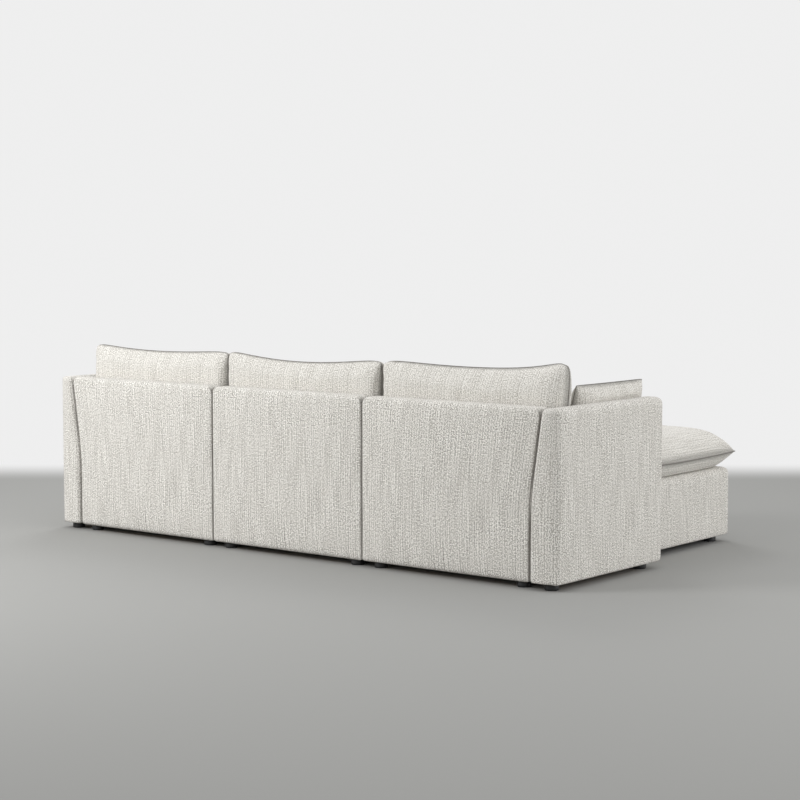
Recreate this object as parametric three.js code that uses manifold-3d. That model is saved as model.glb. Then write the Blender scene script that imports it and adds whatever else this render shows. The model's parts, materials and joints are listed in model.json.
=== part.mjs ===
// A modular sofa: three seat units in a row between two slab arms, and an ottoman
// that stands in front of the right seat and makes the chaise.
// Millimetres, +Z up, the front faces -Y. Left and right are a sitter's own, so the
// left arm is at +X. The origin is on the floor, under the middle of the whole sofa.

import * as THREE from 'three';
import { mergeVertices } from 'three/addons/utils/BufferGeometryUtils.js';
import Module from 'manifold-3d';

const wasm = await Module();
wasm.setup();

// Units: overall sizes
const SEAT_WIDTH = 806;
const UNIT_DEPTH = 734;
const BACK_HEIGHT = 678;
const PLATFORM_HEIGHT = 320;
const BACK_THICKNESS = 95;
const UNIT_GAP = 2;
const ARM_BASE_THICKNESS = 127;
const ARM_TOP_THICKNESS = 77;
const ARM_BEND_HEIGHT = 335;
const OTTOMAN_WIDTH = 790;
const OTTOMAN_DEPTH = 780;
const OTTOMAN_GAP = 0.8;

// Clearances, and one overrun for every cut
const FIT_GAP = 0.3;
const SOFT_GAP = 0.5;
const OVERRUN = 5;

// Rounded edges of the upholstery
const LOWER_EDGE_RADIUS = 9;
const BACK_CORNER_RADIUS = 38;
const BACK_EDGE_RADIUS = 14;
const BASE_CORNER_RADIUS = 26;
const BASE_TOP_RADIUS = 18;
const ARM_OUTER_TOP_RADIUS = 28;
const ARM_INNER_TOP_RADIUS = 22;
const ARM_BEND_RADIUS = 120;
const ARM_FRONT_RADIUS = 34;
const ARM_REAR_RADIUS = 18;
const SHARP_RADIUS = 0.5;
const CORNER_STEPS = 4;
const EDGE_STEPS = 3;

// Padded covers and the frames inside them
const BASE_COVER_WALL = 15;
const BACK_COVER_WALL = 18;
const ARM_COVER_WALL = 18;
const BOARD = 18;
const BATTEN_WIDTH = 46;
const MIDDLE_RAIL_HEIGHT = 318;
const BLOCK_SIZE = 68;
const BLOCK_HEIGHT = 40;
const PANEL_BAYS = 3;

// Webbing
const STRAP_WIDTH = 76;
const STRAP_THICKNESS = 2;
const STRAP_MERGE = 0.2;
const LONG_STRAPS = 4;
const CROSS_STRAPS = 3;

// Dust cloths and joining plates
const CLOTH_THICKNESS = 1.2;
const CLOTH_MARGIN = 19;
const CLOTH_CLEARANCE = 4;
const PLATE_LENGTH = 110;
const PLATE_WIDTH = 60;
const PLATE_THICKNESS = 3;
const PLATE_CORNER_RADIUS = 8;
const PLATE_HOLE_RADIUS = 3;
const PLATE_HOLE_INSET = 9;
const PLATE_FROM_FRONT = 330;
const HOLE_SIDES = 8;

// Feet
const FOOT_HEIGHT = 27;
const FOOT_RADIUS = 27;
const FOOT_CHAMFER = 2;
const FOOT_INSET = 60;
const STUD_RADIUS = 4;
const STUD_LENGTH = 26;
const STUD_CLEARANCE = 0.4;
const FOOT_SIDES = 12;

// Seat and ottoman cushions
const SEAM_HEIGHT = 58;
const SEAT_CROWN = 111;
const SEAT_BELLY = 95;
const SEAT_CORNER_RISE = 7;
const SEAT_DRAW_IN = 4;
const OTTOMAN_OVERHANG = 18;
const SEAT_CORNER_PULL = 3;
const CUSHION_GAP = 1;
const CUSHION_CELLS = 14;

// Back cushions
const BACK_CUSHION_BOTTOM = 452;
const BACK_CUSHION_TOP = 822;
const BACK_SEAM_FROM_PANEL = 88;
const BACK_CROWN = 98;
const BACK_BELLY = 90;
const BACK_DRAW_IN = 9;
const BACK_CORNER_DROP = 34;
const BACK_CORNER_PULL = 16;

// How each back cushion lies: how far it reaches past its seat beside an arm, how high its
// upper corners stand, and how far its upper seam sags between them
const BACK_LIES = {
  left: { armReach: 10, leftRise: 2, rightRise: -8, sag: 12 },
  middle: { armReach: 0, leftRise: 0, rightRise: -10, sag: 25 },
  right: { armReach: 44, leftRise: -8, rightRise: 25, sag: 12 },
};

// Throw pillow, leaning on the right arm
const PILLOW_WIDTH = 450;
const PILLOW_HEIGHT = 318;
const PILLOW_CROWN = 50;
const PILLOW_DRAW_IN = 6;
const PILLOW_CORNER_PULL = 5;
const PILLOW_LEAN = THREE.MathUtils.degToRad(23);
const PILLOW_TOP = 742;
const PILLOW_TOP_FROM_ARM_FACE = 96;
const PILLOW_CENTRE_FROM_REAR = 508;

// How a cushion's two faces swell away from its seam, as powers of the distance along its
// width and across it
const SEAT_SHAPES = [{ powers: [6.5, 6.5], root: 0.5 }, { powers: [6.5, 6.5], root: 0.6 }];
const BACK_SHAPES = [{ powers: [16, 2.4], root: 0.5 }, { powers: [16, 2.4], root: 0.5 }];
const PILLOW_SHAPES = [{ powers: [4, 4], root: 0.5 }, { powers: [4, 4], root: 0.5 }];
const CORNER_POWER = 14;
const END_POWER = 4;

// Derived places
const OVERALL_DEPTH = UNIT_DEPTH + OTTOMAN_GAP + OTTOMAN_DEPTH + OTTOMAN_OVERHANG;
const REAR_Y = OVERALL_DEPTH / 2;
const FRONT_Y = REAR_Y - UNIT_DEPTH;
const PANEL_FRONT_Y = REAR_Y - BACK_THICKNESS;
const OTTOMAN_REAR_Y = FRONT_Y - OTTOMAN_GAP;
const OTTOMAN_FRONT_Y = OTTOMAN_REAR_Y - OTTOMAN_DEPTH;
const ROW_HALF = (3 * SEAT_WIDTH) / 2;
const ARM_LEAN = ARM_BASE_THICKNESS - ARM_TOP_THICKNESS;
const STRAP_WAVE = (STRAP_THICKNESS - STRAP_MERGE) / 2;
const WEBBING_MIDDLE = PLATFORM_HEIGHT - BASE_COVER_WALL - FIT_GAP - STRAP_WAVE - STRAP_THICKNESS / 2;
const FRAME_TOP = WEBBING_MIDDLE - STRAP_THICKNESS / 2 - FIT_GAP;
const CUSHION_REST = PLATFORM_HEIGHT + FIT_GAP;
const PLATE_Y = FRONT_Y + PLATE_FROM_FRONT;

const UNITS = [
  { name: 'left', x: SEAT_WIDTH, side: 1 },
  { name: 'middle', x: 0, side: 0 },
  { name: 'right', x: -SEAT_WIDTH, side: -1 },
];

// Finishes
const fabric = new THREE.MeshStandardMaterial({ color: 0xd6d3cc, roughness: 0.95, metalness: 0 });
const plywood = new THREE.MeshStandardMaterial({ color: 0xb99566, roughness: 0.8, metalness: 0 });
const webbing = new THREE.MeshStandardMaterial({ color: 0x8a7a5c, roughness: 0.9, metalness: 0 });
const cloth = new THREE.MeshStandardMaterial({ color: 0x1b1b1c, roughness: 1, metalness: 0 });
const steel = new THREE.MeshStandardMaterial({ color: 0x5d6063, roughness: 0.5, metalness: 0.8 });
const plastic = new THREE.MeshStandardMaterial({ color: 0x121213, roughness: 0.55, metalness: 0 });

const sofa = new THREE.Group();

function addPiece(name, geometry, material) {
  const mesh = new THREE.Mesh(geometry, material);
  mesh.name = name;
  sofa.add(mesh);
  return mesh;
}

// Booleans: a closed geometry becomes a solid, and a solid becomes a geometry again
function toSolid(geometry) {
  const bare = geometry.clone();
  bare.deleteAttribute('normal');
  bare.deleteAttribute('uv');
  const merged = mergeVertices(bare);
  const vertProperties = new Float32Array(merged.attributes.position.array);
  const triVerts = new Uint32Array(merged.index.array);
  return new wasm.Manifold(new wasm.Mesh({ numProp: 3, vertProperties, triVerts }));
}

function toGeometry(solid) {
  const mesh = solid.getMesh();
  const geometry = new THREE.BufferGeometry();
  geometry.setAttribute('position', new THREE.BufferAttribute(new Float32Array(mesh.vertProperties), 3));
  geometry.setIndex(new THREE.BufferAttribute(new Uint32Array(mesh.triVerts), 1));
  geometry.computeVertexNormals();
  return geometry;
}

function cut(geometry, tools) {
  return toGeometry(tools.reduce((rest, tool) => rest.subtract(toSolid(tool)), toSolid(geometry)));
}

function join(geometries) {
  return toGeometry(geometries.map(toSolid).reduce((whole, solid) => whole.add(solid)));
}

// A box between its limits along each axis
function block([x0, x1], [y0, y1], [z0, z1]) {
  const geometry = new THREE.BoxGeometry(x1 - x0, y1 - y0, z1 - z0);
  geometry.translate((x0 + x1) / 2, (y0 + y1) / 2, (z0 + z1) / 2);
  return geometry;
}

function uprightCylinder(radius, sides, x, y, [z0, z1]) {
  const geometry = new THREE.CylinderGeometry(radius, radius, z1 - z0, sides);
  geometry.rotateX(Math.PI / 2);
  geometry.translate(x, y, (z0 + z1) / 2);
  return geometry;
}

// The direction into an anticlockwise outline from its edge between two corners
function inwardNormal(from, to) {
  return new THREE.Vector2(from.y - to.y, to.x - from.x).normalize();
}

// An anticlockwise outline of corners { x, y, r }, moved inwards by inset, with an arc at
// each corner. A corner that points inwards bends the other way round the same centre.
function roundedOutline(corners, inset) {
  return corners.flatMap((corner, i) => {
    const before = corners[(i + corners.length - 1) % corners.length];
    const after = corners[(i + 1) % corners.length];
    const first = inwardNormal(before, corner);
    const second = inwardNormal(corner, after);
    const bulge = first.cross(second) < 0 ? -1 : 1;
    const radius = Math.max(corner.r - bulge * inset, SHARP_RADIUS);
    const reach = (inset + bulge * radius) / (1 + first.dot(second));
    const centre = first.clone().add(second).multiplyScalar(reach).add(corner);
    const turn = bulge * Math.acos(THREE.MathUtils.clamp(first.dot(second), -1, 1));
    return Array.from({ length: CORNER_STEPS + 1 }, (_, step) => {
      const normal = first.clone().rotateAround(new THREE.Vector2(), (turn * step) / CORNER_STEPS);
      return centre.clone().addScaledVector(normal, -bulge * radius);
    });
  });
}

// A closed body through rings of equal count, with a flat fan at each end
function loft(rings) {
  const count = rings[0].length;
  const last = (rings.length - 1) * count;
  const triangles = [];
  for (let start = 0; start < last; start += count) {
    for (let i = 0; i < count; i += 1) {
      const a = start + i;
      const b = start + ((i + 1) % count);
      triangles.push(a, b, b + count, a, b + count, a + count);
    }
  }
  for (let i = 1; i + 1 < count; i += 1) {
    triangles.push(0, i + 1, i, last, last + i, last + i + 1);
  }
  const positions = rings.flat().flatMap((point) => [...point]);
  const geometry = new THREE.BufferGeometry();
  geometry.setAttribute('position', new THREE.Float32BufferAttribute(positions, 3));
  geometry.setIndex(triangles);
  return geometry;
}

// Where an outline's rings lie along its run, and how far each is drawn in, for rounded ends
function roundedRun(start, end, startRadius, endRadius) {
  const onward = Math.sign(end - start);
  const arc = (place, radius, way) => Array.from({ length: EDGE_STEPS + 1 }, (_, step) => {
    const angle = (Math.PI / 2) * (step / EDGE_STEPS);
    return { at: place + way * radius * (1 - Math.cos(angle)), inset: radius * (1 - Math.sin(angle)) };
  });
  return [...arc(start, startRadius, onward), ...arc(end, endRadius, -onward).reverse()];
}

function straightRun(start, end, inset) {
  return [{ at: start, inset }, { at: end, inset }];
}

// A plan outline that runs up along Z
function runUp(corners, run) {
  return loft(run.map(({ at, inset }) => (
    roundedOutline(corners, inset).map((p) => new THREE.Vector3(p.x, p.y, at))
  )));
}

// A front-view outline, x to the right and z up, that runs from one y to a lower one
function runForward(corners, run) {
  return loft(run.map(({ at, inset }) => (
    roundedOutline(corners, inset).map((p) => new THREE.Vector3(p.x, at, p.y))
  )));
}

function planRectangle([x0, x1], [y0, y1], r) {
  return [{ x: x0, y: y0, r }, { x: x1, y: y0, r }, { x: x1, y: y1, r }, { x: x0, y: y1, r }];
}

// The same outline with its bottom edge at another height
function withBottomAt(corners, z) {
  const lowest = Math.min(...corners.map((corner) => corner.y));
  return corners.map((corner) => ({ ...corner, y: corner.y === lowest ? z : corner.y }));
}

function mirrored(corners) {
  return corners.map((corner) => ({ ...corner, x: -corner.x })).reverse();
}

// Feet: a low round foot on a threaded stud, and the bore that takes the stud
function footBore(x, y) {
  const top = FOOT_HEIGHT + STUD_LENGTH + OVERRUN;
  return uprightCylinder(STUD_RADIUS + STUD_CLEARANCE, FOOT_SIDES, x, y, [FOOT_HEIGHT - OVERRUN, top]);
}

function foot(x, y) {
  const top = FOOT_HEIGHT - FIT_GAP;
  const profile = [
    [0, 0],
    [FOOT_RADIUS - FOOT_CHAMFER, 0],
    [FOOT_RADIUS, FOOT_CHAMFER],
    [FOOT_RADIUS, top],
    [STUD_RADIUS, top],
    [STUD_RADIUS, top + STUD_LENGTH],
    [0, top + STUD_LENGTH],
  ];
  const geometry = new THREE.LatheGeometry(profile.map(([r, z]) => new THREE.Vector2(r, z)), FOOT_SIDES);
  geometry.rotateX(Math.PI / 2);
  geometry.translate(x, y, 0);
  return geometry;
}

function addFeet(prefix, places) {
  for (const [place, [x, y]] of Object.entries(places)) {
    addPiece(`${prefix}_foot_${place}`, foot(x, y), plastic);
  }
}

// Bases: a padded cover over a board frame, webbing on the frame and a dust cloth under it
function baseCover([x0, x1], [y0, y1]) {
  const outer = runUp(
    planRectangle([x0, x1], [y0, y1], BASE_CORNER_RADIUS),
    roundedRun(FOOT_HEIGHT, PLATFORM_HEIGHT, LOWER_EDGE_RADIUS, BASE_TOP_RADIUS),
  );
  const cavity = block(
    [x0 + BASE_COVER_WALL, x1 - BASE_COVER_WALL],
    [y0 + BASE_COVER_WALL, y1 - BASE_COVER_WALL],
    [FOOT_HEIGHT - OVERRUN, PLATFORM_HEIGHT - BASE_COVER_WALL],
  );
  return cut(outer, [cavity]);
}

function cornerBlocks([x0, x1], [y0, y1]) {
  const height = [FOOT_HEIGHT, FOOT_HEIGHT + BLOCK_HEIGHT];
  return [[x0, x0 + BLOCK_SIZE], [x1 - BLOCK_SIZE, x1]].flatMap((xs) => (
    [[y0, y0 + BLOCK_SIZE], [y1 - BLOCK_SIZE, y1]].map((ys) => block(xs, ys, height))
  ));
}

function baseFrame([x0, x1], [y0, y1], bores) {
  const wall = BASE_COVER_WALL + FIT_GAP;
  const outerX = [x0 + wall, x1 - wall];
  const outerY = [y0 + wall, y1 - wall];
  const hole = block(
    [outerX[0] + BOARD, outerX[1] - BOARD],
    [outerY[0] + BOARD, outerY[1] - BOARD],
    [FOOT_HEIGHT - OVERRUN, FRAME_TOP + OVERRUN],
  );
  const ring = cut(block(outerX, outerY, [FOOT_HEIGHT, FRAME_TOP]), [hole]);
  return cut(join([ring, ...cornerBlocks(outerX, outerY)]), bores);
}

// One strap along its run, over and under the straps that it crosses
function strap(run, crossings, phase) {
  const half = STRAP_THICKNESS / 2;
  const line = [run[0], ...crossings, run[1]].map((at, i, all) => {
    const crossing = i > 0 && i + 1 < all.length;
    return [at, crossing ? STRAP_WAVE * (((i + phase) % 2) * 2 - 1) : 0];
  });
  const shape = new THREE.Shape();
  line.forEach(([at, z], i) => (i ? shape.lineTo(at, z + half) : shape.moveTo(at, z + half)));
  [...line].reverse().forEach(([at, z]) => shape.lineTo(at, z - half));
  shape.closePath();
  const geometry = new THREE.ExtrudeGeometry(shape, { depth: STRAP_WIDTH, bevelEnabled: false });
  geometry.translate(0, 0, -STRAP_WIDTH / 2);
  geometry.rotateX(Math.PI / 2);
  return geometry;
}

// Middles of equal shares of a span
function spread([from, to], count) {
  return Array.from({ length: count }, (_, i) => from + ((to - from) * (i + 1 / 2)) / count);
}

function webbingMat([x0, x1], [y0, y1]) {
  const edge = BASE_COVER_WALL + FIT_GAP;
  const xRun = [x0 + edge, x1 - edge];
  const yRun = [y0 + edge, y1 - edge];
  const xs = spread([xRun[0] + BOARD, xRun[1] - BOARD], LONG_STRAPS);
  const ys = spread([yRun[0] + BOARD, yRun[1] - BOARD], CROSS_STRAPS);
  const long = xs.map((x, i) => strap(yRun, ys, i).rotateZ(Math.PI / 2).translate(x, 0, WEBBING_MIDDLE));
  const cross = ys.map((y, j) => strap(xRun, xs, j + 1).translate(0, y, WEBBING_MIDDLE));
  return join([...long, ...cross]);
}

function dustCloth([x0, x1], [y0, y1], footPlaces, plateXs) {
  const sheet = block(
    [x0 + CLOTH_MARGIN, x1 - CLOTH_MARGIN],
    [y0 + CLOTH_MARGIN, y1 - CLOTH_MARGIN],
    [FOOT_HEIGHT - FIT_GAP - CLOTH_THICKNESS, FOOT_HEIGHT - FIT_GAP],
  );
  const height = [0, FOOT_HEIGHT + OVERRUN];
  const notch = (place, middle) => {
    const outward = Math.sign(place - middle);
    const limits = [place + outward * FOOT_INSET, place - outward * (FOOT_RADIUS + CLOTH_CLEARANCE)];
    return limits.sort((a, b) => a - b);
  };
  const footHoles = footPlaces.map(([x, y]) => (
    block(notch(x, (x0 + x1) / 2), notch(y, (y0 + y1) / 2), height)
  ));
  const plateReach = [PLATE_WIDTH / 2 + CLOTH_CLEARANCE, PLATE_LENGTH / 2 + CLOTH_CLEARANCE];
  const plateHoles = plateXs.map((x) => block(
    [x - plateReach[0], x + plateReach[0]],
    [PLATE_Y - plateReach[1], PLATE_Y + plateReach[1]],
    height,
  ));
  return cut(sheet, [...footHoles, ...plateHoles]);
}

// Backs and arms: a padded cover over a board with battens on its inner side
function coverOver(corners, [yRear, yFront], wall, rearRadius, frontRadius) {
  const outer = runForward(corners, roundedRun(yRear, yFront, rearRadius, frontRadius));
  const cavity = runForward(
    withBottomAt(corners, FOOT_HEIGHT - wall - OVERRUN),
    straightRun(yRear - wall, yFront + wall, wall),
  );
  return cut(outer, [cavity]);
}

function coreOf(corners, [yRear, yFront], wall) {
  const inset = wall + FIT_GAP;
  const lowered = withBottomAt(corners, FOOT_HEIGHT - inset);
  return runForward(lowered, straightRun(yRear - inset, yFront + inset, inset));
}

// Limits of the bays between battens, over a whole span
function bays([from, to], count) {
  const pitch = (to - from - BATTEN_WIDTH) / count;
  return Array.from({ length: count }, (_, i) => {
    const start = from + BATTEN_WIDTH + i * pitch;
    return [start, start + pitch - BATTEN_WIDTH];
  });
}

function bayHeights(top) {
  return [
    [FOOT_HEIGHT + BATTEN_WIDTH, MIDDLE_RAIL_HEIGHT - BATTEN_WIDTH],
    [MIDDLE_RAIL_HEIGHT, top - BATTEN_WIDTH],
  ];
}

// How far an upright of the row leans out at a height, beside an arm
function armLeanAt(z) {
  const share = THREE.MathUtils.clamp((z - ARM_BEND_HEIGHT) / (BACK_HEIGHT - ARM_BEND_HEIGHT), 0, 1);
  return ARM_LEAN * share;
}

// The sides of a seat unit, close to an arm or with the gap to the next unit
function unitSpan({ x, side }) {
  const low = x - SEAT_WIDTH / 2 + (side < 0 ? FIT_GAP : UNIT_GAP / 2);
  const high = x + SEAT_WIDTH / 2 - (side > 0 ? FIT_GAP : UNIT_GAP / 2);
  return [low, high];
}

// A back's outline from the front; beside an arm its outer side leans out with the arm
function backOutline(unit) {
  const [inner, outer] = unitSpan({ x: Math.abs(unit.x), side: Math.abs(unit.side) });
  const corners = [
    { x: inner, y: FOOT_HEIGHT, r: LOWER_EDGE_RADIUS },
    { x: outer, y: FOOT_HEIGHT, r: LOWER_EDGE_RADIUS },
    { x: outer, y: ARM_BEND_HEIGHT, r: ARM_BEND_RADIUS },
    { x: outer + ARM_LEAN, y: BACK_HEIGHT, r: BACK_CORNER_RADIUS },
    { x: inner, y: BACK_HEIGHT, r: BACK_CORNER_RADIUS },
  ];
  if (!unit.side) {
    corners.splice(2, 2, { x: outer, y: BACK_HEIGHT, r: BACK_CORNER_RADIUS });
  }
  return unit.side < 0 ? mirrored(corners) : corners;
}

function backFrame(unit, outline, bores) {
  const inset = BACK_COVER_WALL + FIT_GAP;
  const core = coreOf(outline, [REAR_Y, PANEL_FRONT_Y], BACK_COVER_WALL);
  const [x0, x1] = unitSpan(unit);
  const depth = [PANEL_FRONT_Y + inset - OVERRUN, REAR_Y - inset - BOARD];
  const pockets = bays([x0 + inset, x1 - inset], PANEL_BAYS).flatMap((xs) => (
    bayHeights(BACK_HEIGHT - inset).map((zs) => block(xs, depth, zs))
  ));
  return cut(core, [...pockets, ...bores]);
}

function armOutline(side) {
  const corners = [
    { x: ROW_HALF, y: FOOT_HEIGHT, r: LOWER_EDGE_RADIUS },
    { x: ROW_HALF + ARM_BASE_THICKNESS, y: FOOT_HEIGHT, r: LOWER_EDGE_RADIUS },
    { x: ROW_HALF + ARM_BASE_THICKNESS, y: BACK_HEIGHT, r: ARM_OUTER_TOP_RADIUS },
    { x: ROW_HALF + ARM_LEAN, y: BACK_HEIGHT, r: ARM_INNER_TOP_RADIUS },
    { x: ROW_HALF, y: ARM_BEND_HEIGHT, r: ARM_BEND_RADIUS },
  ];
  return side < 0 ? mirrored(corners) : corners;
}

function armFrame(side, outline, bores) {
  const inset = ARM_COVER_WALL + FIT_GAP;
  const core = coreOf(outline, [REAR_Y, FRONT_Y], ARM_COVER_WALL);
  const reach = [ROW_HALF + inset - OVERRUN, ROW_HALF + ARM_BASE_THICKNESS - inset - BOARD];
  const xs = reach.map((x) => side * x).sort((a, b) => a - b);
  const pockets = bays([FRONT_Y + inset, REAR_Y - inset], PANEL_BAYS).flatMap((ys) => (
    bayHeights(BACK_HEIGHT - inset).map((zs) => block(xs, ys, zs))
  ));
  return cut(core, [...pockets, ...bores]);
}

// A plate under the joint at x, with a screw hole near each corner
function joiningPlate(x) {
  const top = FOOT_HEIGHT - FIT_GAP;
  const xs = [x - PLATE_WIDTH / 2, x + PLATE_WIDTH / 2];
  const ys = [PLATE_Y - PLATE_LENGTH / 2, PLATE_Y + PLATE_LENGTH / 2];
  const thickness = straightRun(top - PLATE_THICKNESS, top, 0);
  const plate = runUp(planRectangle(xs, ys, PLATE_CORNER_RADIUS), thickness);
  const inside = ([low, high]) => [low + PLATE_HOLE_INSET, high - PLATE_HOLE_INSET];
  const through = [top - PLATE_THICKNESS - OVERRUN, top + OVERRUN];
  const holes = inside(xs).flatMap((holeX) => inside(ys).map((holeY) => (
    uprightCylinder(PLATE_HOLE_RADIUS, HOLE_SIDES, holeX, holeY, through)
  )));
  return cut(plate, holes);
}

// How far a cushion's face stands off its seam, at shares a and b of its half width and depth
function swell(a, b, { powers: [along, across], root }) {
  return ((1 - Math.abs(a) ** along) * (1 - Math.abs(b) ** across)) ** root;
}

// A knife-edge cushion on its back. Its outline draws in between the corners and rounds them,
// its crown rises above the seam, and its belly sinks below it to the plane z = 0.
function cushion({
  width,
  depth,
  seam,
  crown,
  belly,
  drawIn,
  cornerPull,
  cornerRise = 0,
  shapes: [crownShape, bellyShape],
  bend = null,
}) {
  const angles = Array.from({ length: CUSHION_CELLS + 1 }, (_, i) => (Math.PI * i) / CUSHION_CELLS);
  const shares = angles.map((angle) => -Math.cos(angle));
  const edge = (half, along, across) => {
    const drawn = drawIn * (1 - across * across) * Math.abs(along);
    return half - drawn - cornerPull * Math.abs(along * across) ** CORNER_POWER;
  };
  const fullWidth = Math.max(...shares.map((b) => edge(width / 2, 1, b)));
  const fullDepth = Math.max(...shares.map((a) => edge(depth / 2, 1, a)));
  const positions = [];
  const triangles = [];
  [1, -1].forEach((face, sheet) => {
    const first = sheet * shares.length ** 2;
    shares.forEach((a, i) => shares.forEach((b, j) => {
      const seamHere = seam + cornerRise * (a * b) ** 2;
      const above = seamHere + crown * swell(a, b, crownShape);
      const below = Math.max(0, seamHere - belly * swell(a, b, bellyShape));
      const point = new THREE.Vector3(
        (a * edge(width / 2, a, b) * (width / 2)) / fullWidth,
        (b * edge(depth / 2, b, a) * (depth / 2)) / fullDepth,
        face > 0 ? above : below,
      );
      if (bend) bend(point, a, b);
      positions.push(...point);
      if (i === CUSHION_CELLS || j === CUSHION_CELLS) return;
      const [p, q] = [first + i * shares.length + j, first + (i + 1) * shares.length + j];
      const slant = (2 * i < CUSHION_CELLS) === (2 * j < CUSHION_CELLS);
      const pair = slant ? [[p, q, q + 1], [p, q + 1, p + 1]] : [[p, q, p + 1], [q, q + 1, p + 1]];
      pair.forEach((corners) => triangles.push(...(face > 0 ? corners : corners.reverse())));
    }));
  });
  const geometry = new THREE.BufferGeometry();
  geometry.setAttribute('position', new THREE.Float32BufferAttribute(positions, 3));
  geometry.setIndex(triangles);
  return mergeVertices(geometry);
}

function seatCushion(unit) {
  const geometry = cushion({
    width: SEAT_WIDTH - CUSHION_GAP,
    depth: PANEL_FRONT_Y - FRONT_Y - CUSHION_GAP,
    seam: SEAM_HEIGHT,
    crown: SEAT_CROWN,
    belly: SEAT_BELLY,
    drawIn: SEAT_DRAW_IN,
    cornerPull: SEAT_CORNER_PULL,
    cornerRise: SEAT_CORNER_RISE,
    shapes: SEAT_SHAPES,
  });
  return geometry.translate(unit.x, (PANEL_FRONT_Y + FRONT_Y) / 2, CUSHION_REST);
}

function ottomanCushion() {
  const depth = OTTOMAN_DEPTH + OTTOMAN_OVERHANG;
  const geometry = cushion({
    width: OTTOMAN_WIDTH + 2 * OTTOMAN_OVERHANG,
    depth,
    seam: SEAM_HEIGHT,
    crown: SEAT_CROWN,
    belly: SEAT_BELLY,
    drawIn: SEAT_DRAW_IN,
    cornerPull: SEAT_CORNER_PULL,
    cornerRise: SEAT_CORNER_RISE,
    shapes: SEAT_SHAPES,
  });
  return geometry.translate(-SEAT_WIDTH, OTTOMAN_REAR_Y - depth / 2, CUSHION_REST);
}

// A back cushion stands on a seat cushion and leans on the back. Its upper seam sags between
// its corners, its lower corners drop beside the seat's crown, and its end clears the arm.
function backCushion(unit, seat) {
  const { armReach, leftRise, rightRise, sag } = BACK_LIES[unit.name];
  const width = SEAT_WIDTH - CUSHION_GAP + armReach;
  const height = BACK_CUSHION_TOP - BACK_CUSHION_BOTTOM;
  const middle = (BACK_CUSHION_TOP + BACK_CUSHION_BOTTOM) / 2;
  const bend = (point, a, b) => {
    const corner = (a * b) ** END_POWER;
    const upper = corner * (a > 0 ? leftRise : rightRise) - sag * (1 - a * a) * b * b;
    point.y += b > 0 ? upper : -corner * BACK_CORNER_DROP;
    const narrower = Math.max(0, armReach - armLeanAt(middle + point.y));
    const fromInner = unit.side * point.x + width / 2;
    point.x -= unit.side * narrower * (fromInner / width);
  };
  const geometry = cushion({
    width,
    depth: height,
    seam: BACK_SEAM_FROM_PANEL,
    crown: BACK_CROWN,
    belly: BACK_BELLY,
    drawIn: BACK_DRAW_IN,
    cornerPull: BACK_CORNER_PULL,
    shapes: BACK_SHAPES,
    bend,
  });
  geometry.rotateX(Math.PI / 2);
  geometry.translate(unit.x + (unit.side * armReach) / 2, PANEL_FRONT_Y - SOFT_GAP, middle);
  return cut(geometry, [seat.clone().translate(0, 0, SOFT_GAP)]);
}

// The pillow stands on its lower edge and leans back over the right arm
function throwPillow(seat) {
  const geometry = cushion({
    width: PILLOW_WIDTH,
    depth: PILLOW_HEIGHT,
    seam: PILLOW_CROWN,
    crown: PILLOW_CROWN,
    belly: PILLOW_CROWN,
    drawIn: PILLOW_DRAW_IN,
    cornerPull: PILLOW_CORNER_PULL,
    shapes: PILLOW_SHAPES,
  });
  const along = new THREE.Vector3(0, 1, 0);
  const upward = new THREE.Vector3(-Math.sin(PILLOW_LEAN), 0, Math.cos(PILLOW_LEAN));
  const outward = along.clone().cross(upward);
  const top = new THREE.Vector3(
    PILLOW_TOP_FROM_ARM_FACE - ROW_HALF - ARM_BASE_THICKNESS,
    REAR_Y - PILLOW_CENTRE_FROM_REAR,
    PILLOW_TOP,
  );
  geometry.translate(0, -PILLOW_HEIGHT / 2, -PILLOW_CROWN);
  geometry.applyMatrix4(new THREE.Matrix4().makeBasis(along, upward, outward).setPosition(top));
  return cut(geometry, [seat.clone().translate(0, 0, SOFT_GAP)]);
}

// Assembly: the three seat units
const seats = {};
for (const unit of UNITS) {
  const span = unitSpan(unit);
  const baseY = [FRONT_Y, PANEL_FRONT_Y - FIT_GAP];
  const footXs = [unit.x - SEAT_WIDTH / 2 + FOOT_INSET, unit.x + SEAT_WIDTH / 2 - FOOT_INSET];
  const frontFeet = footXs.map((x) => [x, FRONT_Y + FOOT_INSET]);
  const rearFeet = footXs.map((x) => [x, REAR_Y - FOOT_INSET]);
  const boresAt = (places) => places.map(([x, y]) => footBore(x, y));
  const outline = backOutline(unit);
  const back = [REAR_Y, PANEL_FRONT_Y];
  const plates = [unit.x - SEAT_WIDTH / 2, unit.x + SEAT_WIDTH / 2];
  const cover = coverOver(outline, back, BACK_COVER_WALL, BACK_EDGE_RADIUS, BACK_EDGE_RADIUS);
  seats[unit.name] = seatCushion(unit);
  addPiece(`${unit.name}_base_cover`, baseCover(span, baseY), fabric);
  addPiece(`${unit.name}_base_frame`, baseFrame(span, baseY, boresAt(frontFeet)), plywood);
  addPiece(`${unit.name}_webbing`, webbingMat(span, baseY), webbing);
  addPiece(`${unit.name}_dust_cloth`, dustCloth(span, baseY, frontFeet, plates), cloth);
  addPiece(`${unit.name}_back_cover`, cover, fabric);
  addPiece(`${unit.name}_back_frame`, backFrame(unit, outline, boresAt(rearFeet)), plywood);
  addPiece(`${unit.name}_seat_cushion`, seats[unit.name], fabric);
  addPiece(`${unit.name}_back_cushion`, backCushion(unit, seats[unit.name]), fabric);
  addFeet(unit.name, {
    front_right: frontFeet[0], front_left: frontFeet[1], rear_right: rearFeet[0], rear_left: rearFeet[1],
  });
}
addPiece('throw_pillow', throwPillow(seats.right), fabric);

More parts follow.
